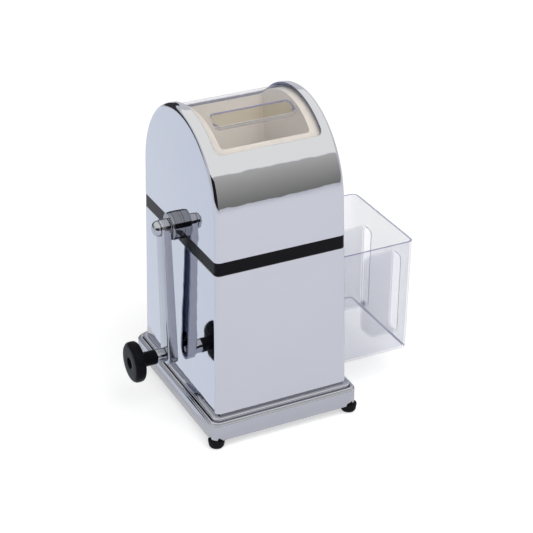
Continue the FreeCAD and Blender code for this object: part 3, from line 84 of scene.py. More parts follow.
def radius_of(node):
    """Half the height of a CAD node, for one that is turned about a line along X."""
    return (high(node).z - low(node).z) / 2


def joint(name):
    """A joint of the frame, by name."""
    return next(entry for entry in frame["joints"] if entry["name"] == name)


TOP = high("upper_housing").z
BODY_FOOT = low("lower_housing").z
BODY_HALF_WIDTH = high("lower_housing").x
BAND_LOW = low("trim_band").z
BAND_HIGH = high("trim_band").z
SHAFT_HEIGHT = joint("crank_turn")["pos_m"][2] / MM
KNOB_HEIGHT = joint("knob_spin")["pos_m"][2] / MM
SPRING = joint("lid_roll")["pos_m"][2] / MM
ARCH_RADIUS = TOP - SPRING


# Settings


def length(description, default):
    """A size in millimetres that a user can change."""
    return FloatProperty(description=description, default=default, min=0.0, unit="NONE", precision=2)


def angle(description, default):
    """An angle that a user can change."""
    return FloatProperty(description=description, default=radians(default), subtype="ANGLE")


def count(description, default):
    """A number of facets that a user can change."""
    return IntProperty(description=description, default=default, min=8)


def colour(description, default):
    """A colour that a user can change."""
    return FloatVectorProperty(
        description=description, default=default, size=3, min=0.0, max=1.0, subtype="COLOR"
    )


def named(group):
    """Names each setting of a group after its key."""
    for key, setting in group.__annotations__.items():
        setting.keywords["name"] = key.replace("_", " ").capitalize()
    return group


@named
class HousingSettings(bpy.types.PropertyGroup):
    """Sizes of the chromed housings, in millimetres."""

    draft: angle("How far each wall leans in towards the top", 1.03)
    edge: length("Rounding round the side panels", 4.5)
    skin: length("Wall of the housings", 1.8)
    lip: length("Rounding of the cut edges", 0.35)
    window_half_length: length("Half the window along the arch", 46.0)
    window_edge: angle("Lower edge of the window above the horizontal", 44.5)
    window_corner: length("Corner radius of the window", 4.5)
    doorway_half_width: length("Half the bin's doorway", 53.2)
    doorway_top: length("Upper edge of the bin's doorway", 135.5)
    doorway_corner: length("Upper corners of the doorway", 6.0)
    arch_steps: count("Facets of the arch", 96)
    band_inset: length("How far the band lies back from the housings", 0.25)
    band_wall: length("Wall of the band", 2.4)
    band_ledge: length("Thickness of the band's ledge", 2.6)
    band_lip: length("Rounding of the band's edges", 0.3)
    ledge_half_length: length("Half the hole in the ledge along X", 45.5)
    ledge_half_depth: length("Half the hole in the ledge along Y", 42.0)
    ledge_corner: length("Corner radius of the hole in the ledge", 5.0)


@named
class BaseSettings(bpy.types.PropertyGroup):
    """Sizes of the stepped base and the feet, in millimetres."""

    corner: length("Corner radius of the base", 7.6)
    bead: length("Half-round beads on the steps", 1.45)
    inner_bead: length("Middle of the inner bead from the edge", 5.05)
    outer_bead: length("Middle of the outer bead from the edge", 2.4)
    inner_top: length("Top of the inner bead", 26.5)
    outer_top: length("Top of the outer bead", 24.05)
    ledge: length("Lowest step of the base", 22.4)
    wall: length("Wall of the base", 2.2)
    foot_radius: length("Radius of a foot at its top", 7.1)
    foot_taper: length("How much slimmer a foot is at its toe", 1.0)
    foot_round: length("Rounding at the foot's toe", 2.6)
    foot_hole: length("Radius of the recess for a foot's screw", 3.2)
    foot_hole_depth: length("Depth of the recess for a foot's screw", 5.0)


@named
class CrankSettings(bpy.types.PropertyGroup):
    """Sizes of the crank, in millimetres."""

    arm_top_radius: length("Round upper end of the arm", 7.0)
    arm_bottom_radius: length("Round lower end of the arm", 8.4)
    arm_wall: length("Wall of the arm's channel", 2.0)
    arm_inset: length("Outer face of the arm's blank from its outermost place", 0.2)
    arm_top_depth: length("Depth of the blank's channel at its upper end", 10.1)
    arm_low_depth: length("Depth of the channel at its lower end", 8.9)
    arm_lean: length("How far the arm leans in towards its lower end", 2.6)
    arm_edge: length("Rounding of the arm's outer edges", 1.3)
    arm_slimming: length("How much slimmer the arm is at its upper end than its blank", 2.6)
    nut_relief: length("How far the nut's dome stands over the end of the shaft", 0.6)
    boss_bore: length("Bore of the boss", 7.5)
    boss_groove: length("Depth and width of the boss's grooves", 0.5)
    collar_bore: length("Bore of the ferrule", 3.0)
    disc_width: length("Thickness of the knob's disc", 9.4)
    disc_edge: length("Rounding of the knob's rim", 3.6)
    stem: length("Radius of the knob's stem", 6.2)
    dimple: length("Radius of the knob's dimple", 4.8)
    dimple_depth: length("Depth of the knob's dimple", 5.0)
    knob_bore: length("Bore of the knob", 3.05)


@named
class ClearSettings(bpy.types.PropertyGroup):
    """Sizes of the lid and the ice bin, in millimetres."""

    wall: length("Walls of the clear pieces", 1.8)
    bin_corner: length("Corner radius of the bin", 5.5)
    bin_taper: length("The bin is smaller by this on each side at its bottom", 1.3)
    bin_floor_round: length("Rounding round the bin's floor", 3.2)
    slot_place: length("Middle of a finger slot from the bin's middle", 25.5)
    slot_half_width: length("Half a finger slot", 6.0)
    slot_depth: length("How far a slot reaches into the bin's outer end", 31.0)
    slot_bottom: length("Height of a slot's lower end", 35.0)
    slot_top: length("Height of a slot's upper end", 108.0)
    slot_corner: length("Corners at a slot's inner end", 8.0)
    slot_round: length("Rounding along a slot's sides", 3.0)
    slot_mouth: length("Rounding round a slot's mouth", 2.2)
    lid_end: angle("The lid's ends above the horizontal", 40.0)
    lid_rows: count("Facets of the lid along its arch", 140)
    lid_cuts: count("Cuts across the lid", 115)
    lid_pocket_half: length("Half the lid's finger pocket", 35.0)
    lid_pocket_depth: length("Depth of the finger pocket at its lower edge", 5.4)
    pocket_shallow: length("Depth of the finger pocket at its upper edge", 1.6)
    pocket_corner: length("Corner radius of the finger pocket", 4.5)
    pocket_slope: length("Width of the finger pocket's sloping sides", 2.6)
    pocket_low: angle("Lower edge of the finger pocket", 66.0)
    pocket_high: angle("Upper edge of the finger pocket", 79.5)


@named
class FinishSettings(bpy.types.PropertyGroup):
    """Colours of the finishes."""

    chrome: colour("Plating of the housings and fittings", (0.552, 0.565, 0.644))
    # Partly painted shade: the crank's plating is set darker than the housings' chrome to stand for the dark
    # reflections round the crank.
    fittings: colour("Plating of the crank's metal pieces", (0.43, 0.45, 0.52))
    # Painted shade: the dark line along the window's cut edges stands for the gap's shade and its dark
    # reflection.
    cut_edge: colour("Cut edges of the plated housing", (0.13, 0.13, 0.21))
    steel: colour("Shaft, wheels, combs and screws", (0.50, 0.50, 0.51))
    black: colour("Band and knob", (0.005, 0.005, 0.007))
    rubber: colour("Feet", (0.006, 0.006, 0.007))
    cream: colour("Hopper and cradle", (0.78, 0.715, 0.615))
    nylon: colour("Bushes and washer", (0.78, 0.77, 0.72))
    clear: colour("Lid and ice bin", (0.70, 0.726, 0.90))
    # Painted shade, the next two colours: dark lines on the rims and bends of the clear pieces, and the tint
    # where a clear wall is seen edge on, standing for how the plastic bends the light there.
    painted_rim_shade: colour("Rims of the lid and ice bin", (0.13, 0.13, 0.28))
    lid_edge_on_painted_shade: colour("The lid where it is seen edge on", (0.62, 0.62, 0.74))
    # Painted highlight: a pale line along the pocket's lower edge, where the bent plastic catches the light.
    pocket_lip_highlight: colour("Lower edge of the finger pocket", (0.82, 0.82, 0.86))
    # Painted shade: the pocket's floor is tinted a darker tan for the shaded rear wall of the hopper seen
    # through it.
    pocket_floor_shade: colour("Floor of the finger pocket", (0.34, 0.29, 0.20))
    paper: colour("The floor under the object", (0.66, 0.66, 0.66))


# Finishes


class Value:
    """A socket of a node tree, with arithmetic."""

    def __init__(self, nodes, socket):
        self.nodes = nodes
        self.socket = socket

    def __add__(self, other):
        return self.nodes.maths("ADD", self, other)

    def __mul__(self, other):
        return self.nodes.maths("MULTIPLY", self, other)

    def __pow__(self, other):
        return self.nodes.maths("POWER", self, other)

    __radd__ = __add__
    __rmul__ = __mul__


class Nodes:
    """Adds nodes to a node tree."""

    def __init__(self, tree):
        self.tree = tree

    def node(self, kind, settings=None, inputs=None, output=0):
        """A node of that type: its settings first, then the values or links of its sockets."""
        made = self.tree.nodes.new(kind)
        for name, value in (settings or {}).items():
            setattr(made, name, value)
        for name, value in (inputs or {}).items():
            self.feed(made.inputs[name], value)
        return Value(self, made.outputs[output]) if made.outputs else None

    def feed(self, socket, value):
        """Links a Value to a socket, or sets the socket's own value."""
        if isinstance(value, Value):
            self.tree.links.new(value.socket, socket)
        elif hasattr(value, "__len__") and len(value) == 3 and socket.type == "RGBA":
            socket.default_value = (*value, 1.0)
        else:
            socket.default_value = value

    def maths(self, operation, first, second):
        """A Math node."""
        return self.node("ShaderNodeMath", {"operation": operation}, {0: first, 1: second})

    def mix(self, mask, first, second):
        """A colour between two colours."""
        return self.node("ShaderNodeMix", {"data_type": "RGBA"}, {0: mask, 6: first, 7: second}, 2)

    def own_place(self):
        """The piece's own coordinates."""
        return self.node("ShaderNodeTexCoord", output="Object")

    def shown_rays(self):
        """1 for camera, glossy and transmission rays, and 0 for the rays that give light."""
        shown = self.node("ShaderNodeLightPath", output="Is Camera Ray")
        for other in ("Is Glossy Ray", "Is Transmission Ray"):
            shown = self.maths("MAXIMUM", shown, self.node("ShaderNodeLightPath", output=other))
        return shown


def shade(tint, share):
    """A lighter or darker version of a tint."""
    return tuple(share * part for part in tint)


class Finish(Nodes):
    """A material in the making, round one Principled shader."""

    def __init__(self, name, **sockets):
        self.material = bpy.data.materials.new(name)
        self.material.use_nodes = True
        super().__init__(self.material.node_tree)
        self.shader = self.tree.nodes["Principled BSDF"]
        for socket, value in sockets.items():
            self.set(socket.replace("_", " "), value)

    def set(self, socket, value):
        """Sets or links a socket of the Principled shader."""
        self.feed(self.shader.inputs[socket], value)

    def noise(self, scale, detail=2.0, roughness=0.5, stretch=(1.0, 1.0, 1.0)):
        """Soft noise from 0 to 1 at a scale per metre, stretched along the piece's axes."""
        place = self.node("ShaderNodeMapping", inputs={"Vector": self.own_place(), "Scale": stretch})
        inputs = {"Vector": place, "Scale": scale, "Detail": detail, "Roughness": roughness}
        return self.node("ShaderNodeTexNoise", inputs=inputs)

    def two_tone(self, mask, tint, share):
        """Lets the base colour pass by a mask into a lighter or darker version of itself."""
        self.set("Base Color", self.mix(mask, tint, shade(tint, share)))

    def bump(self, height, depth):
        """Feeds the shader's normal with a relief of that depth in metres."""
        self.set("Normal", self.node("ShaderNodeBump", inputs={"Height": height, "Distance": depth}))


def finishes():
    """The colours that the user has set."""
    return bpy.context.scene.crusher_finishes


def chrome_finish(name, tone=1.0, gloss=0.03, wave=0.00025):
    """Bright plating: faint waves in the reflections, hazy patches and hairline wipe marks."""
    finish = Finish(name, Metallic=1.0)
    haze = finish.noise(28.0, detail=3.0)
    wipes = finish.noise(900.0, roughness=0.6, stretch=(1.0, 0.06, 0.3))
    finish.two_tone(haze, shade(finishes().chrome, tone), 0.97)
    finish.set("Roughness", gloss + 0.02 * haze + 0.012 * wipes)
    finish.bump(finish.noise(42.0), wave)
    return finish.material


def fittings_finish(name, turned=(1.0, 1.0, 1.0), tone=1.0, gloss=0.04, depth=0.00003):
    """Plating on the crank's metal, darker than the housings' chrome partly as painted shade for its dark
    reflections, with fine lines left by turning or drawing.
    """
    finish = Finish(name, Metallic=1.0)
    haze = finish.noise(60.0, detail=3.0)
    lines = finish.noise(1400.0, roughness=0.6, stretch=turned)
    finish.two_tone(haze, shade(finishes().fittings, tone), 0.88)
    finish.set("Roughness", gloss + 0.03 * haze + 0.05 * lines)
    finish.bump(lines, depth)
    return finish.material


def painted_edge_shade_finish(name, gloss=0.22):
    """Painted shade: a thin dark line on the window's cut edges, standing for the shade and dark reflection
    in the gap there.
    """
    finish = Finish(name, Metallic=1.0)
    grain = finish.noise(700.0)
    finish.two_tone(grain, finishes().cut_edge, 1.4)
    finish.set("Roughness", gloss + 0.1 * grain)
    return finish.material


def steel_finish(name, grain=(1.0, 1.0, 0.05), gloss=0.2, depth=0.00003):
    """Machined steel: turned or ground lines and duller patches."""
    finish = Finish(name, Metallic=1.0)
    lines = finish.noise(2600.0, detail=3.0, roughness=0.7, stretch=grain)
    patches = finish.noise(60.0, detail=3.0)
    finish.two_tone(patches, finishes().steel, 0.8)
    finish.set("Roughness", gloss + 0.12 * patches + 0.1 * lines)
    finish.bump(lines, depth)
    return finish.material


def black_plastic_finish(name, gloss=0.2, shine=0.06, depth=0.00001):
    """Black moulding: glossy, with faint dust in the gloss and a slight orange peel."""
    finish = Finish(name, Specular_IOR_Level=shine)
    dust = finish.noise(1800.0)
    peel = finish.noise(420.0)
    finish.two_tone(dust, finishes().black, 1.8)
    finish.set("Roughness", gloss + 0.06 * dust + 0.05 * peel)
    finish.bump(peel, depth)
    return finish.material


def rubber_finish(name, gloss=0.48, depth=0.00004):
    """Matt rubber: fine pores and a worn, greyer bloom."""
    finish = Finish(name, Specular_IOR_Level=0.06)
    pores = finish.noise(3200.0)
    finish.two_tone(finish.noise(160.0, detail=3.0), finishes().rubber, 2.2)
    finish.set("Roughness", gloss + 0.15 * pores)
    finish.bump(pores, depth)
    return finish.material


def cream_finish(name, gloss=0.3, depth=0.00002):
    """Cream moulding: warm, slightly translucent, with a soft eggshell gloss."""
    sockets = {"Subsurface_Weight": 0.08, "Subsurface_Radius": (0.004, 0.003, 0.002)}
    finish = Finish(name, Specular_IOR_Level=0.45, **sockets)
    clouds = finish.noise(40.0, detail=3.0)
    shell = finish.noise(900.0)
    finish.two_tone(clouds, finishes().cream, 0.94)
    finish.set("Roughness", gloss + 0.08 * shell + 0.06 * clouds)
    finish.bump(shell, depth)
    return finish.material


def nylon_finish(name, gloss=0.42, depth=0.00002):
    """Natural nylon: milky, with a fine turned grain."""
    finish = Finish(name, Specular_IOR_Level=0.4)
    grain = finish.noise(2400.0)
    finish.two_tone(grain, finishes().nylon, 0.9)
    finish.set("Roughness", gloss + 0.1 * grain)
    finish.bump(grain, depth)
    return finish.material


def clear_finish(name, veil, edge, tint=None, edge_tint=None, gloss=0.05, ripple=0.00003):
    """Clear moulding: a faint lavender veil that darkens and thickens where a wall is seen edge on, as
    painted shade for the light the plastic bends there.
    """
    finish = Finish(name, IOR=1.46, Specular_IOR_Level=0.5)
    haze = finish.noise(70.0, detail=3.0)
    facing = finish.node("ShaderNodeLayerWeight", inputs={"Blend": 0.5}, output="Facing")
    edge_on = facing ** 6.0
    seen_flat, seen_on_edge = tint or finishes().clear, edge_tint or finishes().painted_rim_shade
    finish.set("Base Color", finish.mix(edge_on, seen_flat, seen_on_edge))
    finish.set("Roughness", gloss + 0.04 * haze)
    finish.set("Alpha", veil + 0.03 * haze + edge * edge_on)
    finish.bump(finish.noise(26.0, detail=1.0), ripple)
    return finish.material


def painted_line_finish(name, cover=0.75, edge=None, gloss=0.08):
    """A rim or bend of a clear moulding, where the plastic gathers the light into a line, painted as a
    colour of its own: painted shade on rims and bends, a painted highlight on the pocket's lip.
    """
    finish = Finish(name, Specular_IOR_Level=0.6, Alpha=cover)
    haze = finish.noise(300.0)
    finish.two_tone(haze, edge or finishes().painted_rim_shade, 1.3)
    finish.set("Roughness", gloss + 0.05 * haze)
    return finish.material


MADE = {}


def material(name, recipe, **settings):
    """The material of that name, made on first use."""
    if name not in MADE:
        MADE[name] = recipe(name, **settings)
    return MADE[name]


# Mesh work


def of_kind(made, kind):
    """The vertices or edges among what an operator made."""
    return [item for item in made if isinstance(item, kind)]


def extrude(bm, faces, shift=0.0):
    """Extrudes faces by a length along X, in millimetres, and returns the new vertices."""
    verts = of_kind(bmesh.ops.extrude_face_region(bm, geom=faces)["geom"], bmesh.types.BMVert)
    bmesh.ops.translate(bm, verts=verts, vec=(shift * MM, 0, 0))
    return verts


def edges_where(bm, test):
    """Edges whose two ends both pass a test of their place in millimetres."""
    return [edge for edge in bm.edges if all(test(vert.co / MM) for vert in edge.verts)]


def round_edges(bm, edges, radius, segments=5):
    """Rounds edges by a radius in millimetres."""
    bmesh.ops.bevel(
        bm, geom=edges, offset=radius * MM, offset_type="OFFSET", segments=segments, profile=0.5,
        affect="EDGES", material=-1, clamp_overlap=True,
    )


def tidy(bm):
    """Merges doubles and turns the faces outwards."""
    bmesh.ops.remove_doubles(bm, verts=bm.verts, dist=WELD_REACH * MM)
    bmesh.ops.recalc_face_normals(bm, faces=bm.faces)


def drag(bm, verts, edges, turn, centre, axis, shift, steps):
    """Spins or shifts a line of verts and edges into a strip, and returns the line at its far end."""
    made = bmesh.ops.spin(
        bm, geom=[*verts, *edges], cent=centre, axis=axis, dvec=shift, angle=turn, steps=steps,
        use_duplicate=False,
    )["geom_last"]
    return of_kind(made, bmesh.types.BMVert), of_kind(made, bmesh.types.BMEdge)


def chain(bm, corners, closed=False):
    """A line of edges through corners in millimetres."""
    verts = [bm.verts.new(Vector(corner) * MM) for corner in corners]
    edges = [bm.edges.new(pair) for pair in zip(verts, verts[1:])]
    if closed:
        edges.append(bm.edges.new((verts[-1], verts[0])))
    return verts, edges


def smooth(mesh, sharp_angle=32.0):
    """Smooth shading, broken where faces meet at more than an angle."""
    mesh.shade_smooth()
    mesh.set_sharp_from_angle(angle=radians(sharp_angle))


def object_from(bm, name, label):
    """Turns a mesh in the making into an object of the scene."""
    mesh = bpy.data.meshes.new(name)
    bm.to_mesh(mesh)
    bm.free()
    made = bpy.data.objects.new(label, mesh)
    bpy.context.scene.collection.objects.link(made)
    return made


def finish_piece(bm, name, body, look, sharp_angle=32.0):
    """Makes a mesh into an object that rides on a body and stands for the CAD node of that name."""
    piece = object_from(bm, name, f"{name}_look")
    smooth(piece.data, sharp_angle)
    piece.data.materials.append(look)
    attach(piece, body)
    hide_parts(name)
    return piece


def carve(piece, *cutters):
    """Cuts closed meshes out of a piece for good."""
    for cutter in cutters:
        cut = piece.modifiers.new("cut", "BOOLEAN")
        cut.object = cutter
        cut.operation = "DIFFERENCE"
        cut.solver = "EXACT"
    bpy.context.view_layer.update()
    carved = bpy.data.meshes.new_from_object(piece.evaluated_get(bpy.context.evaluated_depsgraph_get()))
    piece.modifiers.clear()
    piece.data = carved
    smooth(carved)
    for cutter in cutters:
        bpy.data.objects.remove(cutter)


def cutter_from(bm, name, slot=0):
    """A passing object to carve with, whose cuts take a material slot of the piece."""
    tidy(bm)
    for face in bm.faces:
        face.material_index = slot
    return object_from(bm, name, name)


def block(corner_low, corner_high):
    """A block between two corners in millimetres."""
    bm = bmesh.new()
    bmesh.ops.create_cube(bm, size=1.0)
    span = Vector(corner_high) - Vector(corner_low)
    middle = (Vector(corner_high) + Vector(corner_low)) / 2
    bmesh.ops.transform(
        bm, matrix=Matrix.Translation(middle * MM) @ Matrix.Diagonal((*(span * MM), 1.0)), verts=bm.verts
    )
    return bm


def rounded_block(corner_low, corner_high, radius, axis):
    """A block between two corners in millimetres, its edges along an axis rounded."""
    bm = block(corner_low, corner_high)
    along = [edge for edge in bm.edges if abs((edge.verts[0].co - edge.verts[1].co)[axis]) > 1e-6]
    round_edges(bm, along, radius, 8)
    return bm


# The housing's block: an arch over drafted walls, its panels' edges rounded


def half_width(height, inset=0.0):
    """Half the housing along X at a height, in millimetres."""
    lean = tan(bpy.context.scene.crusher_housing.draft)
    return BODY_HALF_WIDTH - (height - BODY_FOOT) * lean - inset


def arch_block(inset, bottom, top=None):
    """The housing's block drawn in by an inset, from a height up, cut off at another height."""
    settings = bpy.context.scene.crusher_housing
    radius = ARCH_RADIUS - inset
    lean = settings.draft
    foot = radius / cos(lean) + (SPRING - bottom) * tan(lean)
    bm = bmesh.new()
    eaves = (-1.0, -radius * cos(lean), SPRING + radius * sin(lean))
    verts, edges = chain(bm, [(-1.0, -foot, bottom), eaves])
    crown = [verts[1]]
    centre = Vector((0.0, 0.0, SPRING)) * MM
    last, _ = drag(bm, crown, [], -(pi - 2 * lean), centre, (1, 0, 0), (0, 0, 0), settings.arch_steps)
    end = bm.verts.new(Vector((-1.0, foot, bottom)) * MM)
    bm.edges.new((last[0], end))
    bm.edges.new((end, verts[0]))
    side_panel = bmesh.ops.contextual_create(bm, geom=list(bm.edges))["faces"]
    extrude(bm, side_panel, 2.0)
    for vert in bm.verts:
        side = 1 if vert.co.x > 0 else -1
        vert.co.x = side * half_width(vert.co.z / MM, inset) * MM
    tidy(bm)
    rim = [
        edge
        for edge in bm.edges
        if len({vert.co.x > 0 for vert in edge.verts}) == 1
        and not all(abs(vert.co.z / MM - bottom) < NEAR for vert in edge.verts)
    ]
    round_edges(bm, rim, settings.edge - inset, 8)
    if top is not None:
        cut = bmesh.ops.bisect_plane(
            bm, geom=[*bm.verts, *bm.edges, *bm.faces], plane_co=(0, 0, top * MM), plane_no=(0, 0, 1),
            clear_outer=True,
        )["geom_cut"]
        bmesh.ops.contextual_create(bm, geom=of_kind(cut, bmesh.types.BMEdge))
    tidy(bm)
    return bm


def lip(piece, width, slot=-1):
    """Rounds the cut edges of a carved piece, and may give them a material slot of their own."""
    rounding = piece.modifiers.new("lip", "BEVEL")
    rounding.material = slot
    rounding.width = width * MM
    rounding.segments = 3
    rounding.limit_method = "ANGLE"
    rounding.angle_limit = radians(60)
    rounding.harden_normals = True
    rounding.use_clamp_overlap = True


class CRUSHER_OT_upper_housing(bpy.types.Operator):
    """Add the arched housing with its window"""

    bl_idname = "crusher.upper_housing"
    bl_label = "Upper Housing"

    def execute(self, context):
        settings = context.scene.crusher_housing
        look = material("chrome_plating", chrome_finish)
        bm = arch_block(0.0, BAND_HIGH)
        piece = finish_piece(bm, "upper_housing", "housing", look)
        half_y = ARCH_RADIUS * cos(settings.window_edge)
        hollow = cutter_from(arch_block(settings.skin, BAND_HIGH - PAST), "upper_hollow")
        half_x = settings.window_half_length
        window = rounded_block(
            (-half_x, -half_y, SPRING + PAST), (half_x, half_y, TOP + PAST), settings.window_corner, 2
        )
        # The window's cut faces and their rounding take the painted shade of the dark edge line.
        piece.data.materials.append(material("cut_edge", painted_edge_shade_finish))
        carve(piece, hollow, cutter_from(window, "window_cut", 1))
        lip(piece, settings.lip, 1)
        return {"FINISHED"}


class CRUSHER_OT_lower_housing(bpy.types.Operator):
    """Add the housing's walls with the bin's doorway"""

    bl_idname = "crusher.lower_housing"
    bl_label = "Lower Housing"

    def execute(self, context):
        settings = context.scene.crusher_housing
        look = material("chrome_plating", chrome_finish)
        bm = arch_block(0.0, BODY_FOOT, BAND_LOW)
        piece = finish_piece(bm, "lower_housing", "housing", look)
        hollow = cutter_from(arch_block(settings.skin, BODY_FOOT - PAST, BAND_LOW + PAST), "lower_hollow")
        half_y, corner = settings.doorway_half_width, settings.doorway_corner
        doorway = rounded_block(
            (BODY_HALF_WIDTH - 2 * PAST, -half_y, BODY_FOOT - 2 * corner),
            (BODY_HALF_WIDTH + 2 * PAST, half_y, settings.doorway_top),
            corner, 0,
        )
        carve(piece, hollow, cutter_from(doorway, "doorway_cut"))
        lip(piece, settings.lip)
        return {"FINISHED"}


class CRUSHER_OT_trim_band(bpy.types.Operator):
    """Add the black band between the housings, with its ledge"""

    bl_idname = "crusher.trim_band"
    bl_label = "Trim Band"

    def execute(self, context):
        settings = context.scene.crusher_housing
        look = material("black_gloss", black_plastic_finish)
        bm = arch_block(settings.band_inset, BAND_LOW, BAND_HIGH)
        piece = finish_piece(bm, "trim_band", "housing", look)
        inside = settings.band_inset + settings.band_wall
        well = arch_block(inside, BAND_LOW + settings.band_ledge, BAND_HIGH + PAST)
        half_x, half_y = settings.ledge_half_length, settings.ledge_half_depth
        hole = rounded_block(
            (-half_x, -half_y, BAND_LOW - PAST), (half_x, half_y, BAND_HIGH + PAST), settings.ledge_corner, 2
        )
        carve(piece, cutter_from(well, "band_well"), cutter_from(hole, "ledge_hole"))
        lip(piece, settings.band_lip)
        return {"FINISHED"}


# Base and feet


def sweep_round(bm, profile, half_x, half_y, corner, spread, steps=10):
    """Sweeps an open line of (inset, height) corners round a rounded rectangle. spread is how much the
    corner radius shrinks for each millimetre of inset."""
    x, y = half_x - corner, half_y - corner
    verts, edges = chain(bm, [(-x, -(half_y - inset), height) for inset, height in profile])
    centres = ((x, -y), (x, y), (-x, y), (-x, -y))
    runs = ((2 * x, 0), (0, 2 * y), (-2 * x, 0), (0, -2 * y))
    for (centre_x, centre_y), (run_x, run_y) in zip(centres, runs):
        verts, edges = drag(bm, verts, edges, 0.0, (0, 0, 0), (0, 0, 1), Vector((run_x, run_y, 0)) * MM, 1)
        centre = Vector((centre_x, centre_y, 0)) * MM
        verts, edges = drag(bm, verts, edges, pi / 2, centre, (0, 0, 1), (0, 0, 0), steps)
    tidy(bm)
    for vert in bm.verts:
        side_x = 1 if vert.co.x > 0 else -1
        side_y = 1 if vert.co.y > 0 else -1
        away = Vector((abs(vert.co.x) / MM - x, abs(vert.co.y) / MM - y))
        if away.x < -NEAR or away.y < -NEAR:
            continue
        inset = corner - away.length
        radius = corner - spread * inset
        direction = away.normalized()
        vert.co.x = side_x * (half_x - inset - radius + radius * direction.x) * MM
        vert.co.y = side_y * (half_y - inset - radius + radius * direction.y) * MM


def half_round(middle_inset, middle_height, radius, steps=8, start=-20.0, stop=200.0):
    """Corners of a bead's round back, from its outer side to its inner side, as (inset, height)."""
    turns = [radians(start + (stop - start) * n / steps) for n in range(steps + 1)]
    return [(middle_inset - radius * cos(turn), middle_height + radius * sin(turn)) for turn in turns]


class CRUSHER_OT_base(bpy.types.Operator):
    """Add the stepped and beaded base"""

    bl_idname = "crusher.base"
    bl_label = "Base"

    def execute(self, context):
        settings = context.scene.crusher_base
        # Painted shade: the base's plating is darkened to 0.8 of the chrome to stand for the shadowed floor
        # it mirrors.
        look = material("base_plating", chrome_finish, tone=0.8)
        half_x, half_y = high("base").x, high("base").y
        bottom = low("base").z
        wall = settings.wall
        step = settings.inner_top - settings.bead - 0.6
        outer = half_round(settings.outer_bead, settings.outer_top - settings.bead, settings.bead)
        inner = half_round(settings.inner_bead, settings.inner_top - settings.bead, settings.bead, stop=90.0)
        profile = [
            (wall + 3.0, bottom + 7.0),
            (wall, bottom + 6.0),
            (wall, bottom),
            (0.5, bottom),
            (0.0, bottom + 0.5),
            (0.0, settings.ledge - 0.8),
            (0.25, settings.ledge - 0.25),
            (0.8, settings.ledge),
            *outer,
            (settings.outer_bead + settings.bead + 0.05, step),
            *inner,
            (settings.inner_bead + 1.2, settings.inner_top),
        ]
        bm = bmesh.new()
        sweep_round(bm, profile, half_x, half_y, settings.corner, 0.337)
        top_ring = edges_where(bm, lambda co: abs(co.z - settings.inner_top) < NEAR)
        bmesh.ops.contextual_create(bm, geom=[edge for edge in top_ring if edge.is_boundary])
        tidy(bm)
        finish_piece(bm, "base", "housing", look, 50.0)
        return {"FINISHED"}


def lathe(profile, middle, steps=96):
    """A piece turned about a line along X through middle. The profile's corners are (along, radius) or
    (along, radius, rounding) in millimetres."""
    bm = bmesh.new()
    verts, edges = chain(bm, [(corner[0], 0.0, corner[1]) for corner in profile], closed=True)
    bmesh.ops.spin(
        bm, geom=[*verts, *edges], cent=(0, 0, 0), axis=(1, 0, 0), dvec=(0, 0, 0), angle=2 * pi, steps=steps,
        use_merge=True,
    )
    tidy(bm)
    for corner in profile:
        if len(corner) < 3:
            continue
        along, radius, rounding = corner
        ring = edges_where(
            bm, lambda co: abs(co.x - along) < NEAR and abs(hypot(co.y, co.z) - radius) < 2 * NEAR
        )
        round_edges(bm, ring, rounding, 6)
    bmesh.ops.translate(bm, verts=bm.verts, vec=Vector(middle) * MM)
    return bm


def stand_up(bm):
    """Turns what was made along X to stand along Z."""
    bmesh.ops.rotate(bm, verts=bm.verts, cent=(0, 0, 0), matrix=Matrix.Rotation(-pi / 2, 3, "Y"))


class CRUSHER_OT_feet(bpy.types.Operator):
    """Add the four rubber feet"""

    bl_idname = "crusher.feet"
    bl_label = "Feet"

    def execute(self, context):
        settings = context.scene.crusher_base
        top = high("feet").z
        radius, hole, depth = settings.foot_radius, settings.foot_hole, settings.foot_hole_depth
        place_x, place_y = high("feet").x - radius, high("feet").y - radius
        profile = [
            (0.0, hole, 0.4),
            (0.0, radius - settings.foot_taper, settings.foot_round),
            (top, radius, 0.8),
            (top, 0.0),
            (depth, 0.0),
            (depth, hole),
        ]
        whole = bmesh.new()
        for x in (-place_x, place_x):
            for y in (-place_y, place_y):
                foot = lathe(profile, (0, 0, 0), 48)
                stand_up(foot)
                bmesh.ops.translate(foot, verts=foot.verts, vec=Vector((x, y, 0)) * MM)
                part = bpy.data.meshes.new("foot")
                foot.to_mesh(part)
                foot.free()
                whole.from_mesh(part)
                bpy.data.meshes.remove(part)
        tidy(whole)
        finish_piece(whole, "feet", "housing", material("black_rubber", rubber_finish))
        return {"FINISHED"}


# Crank


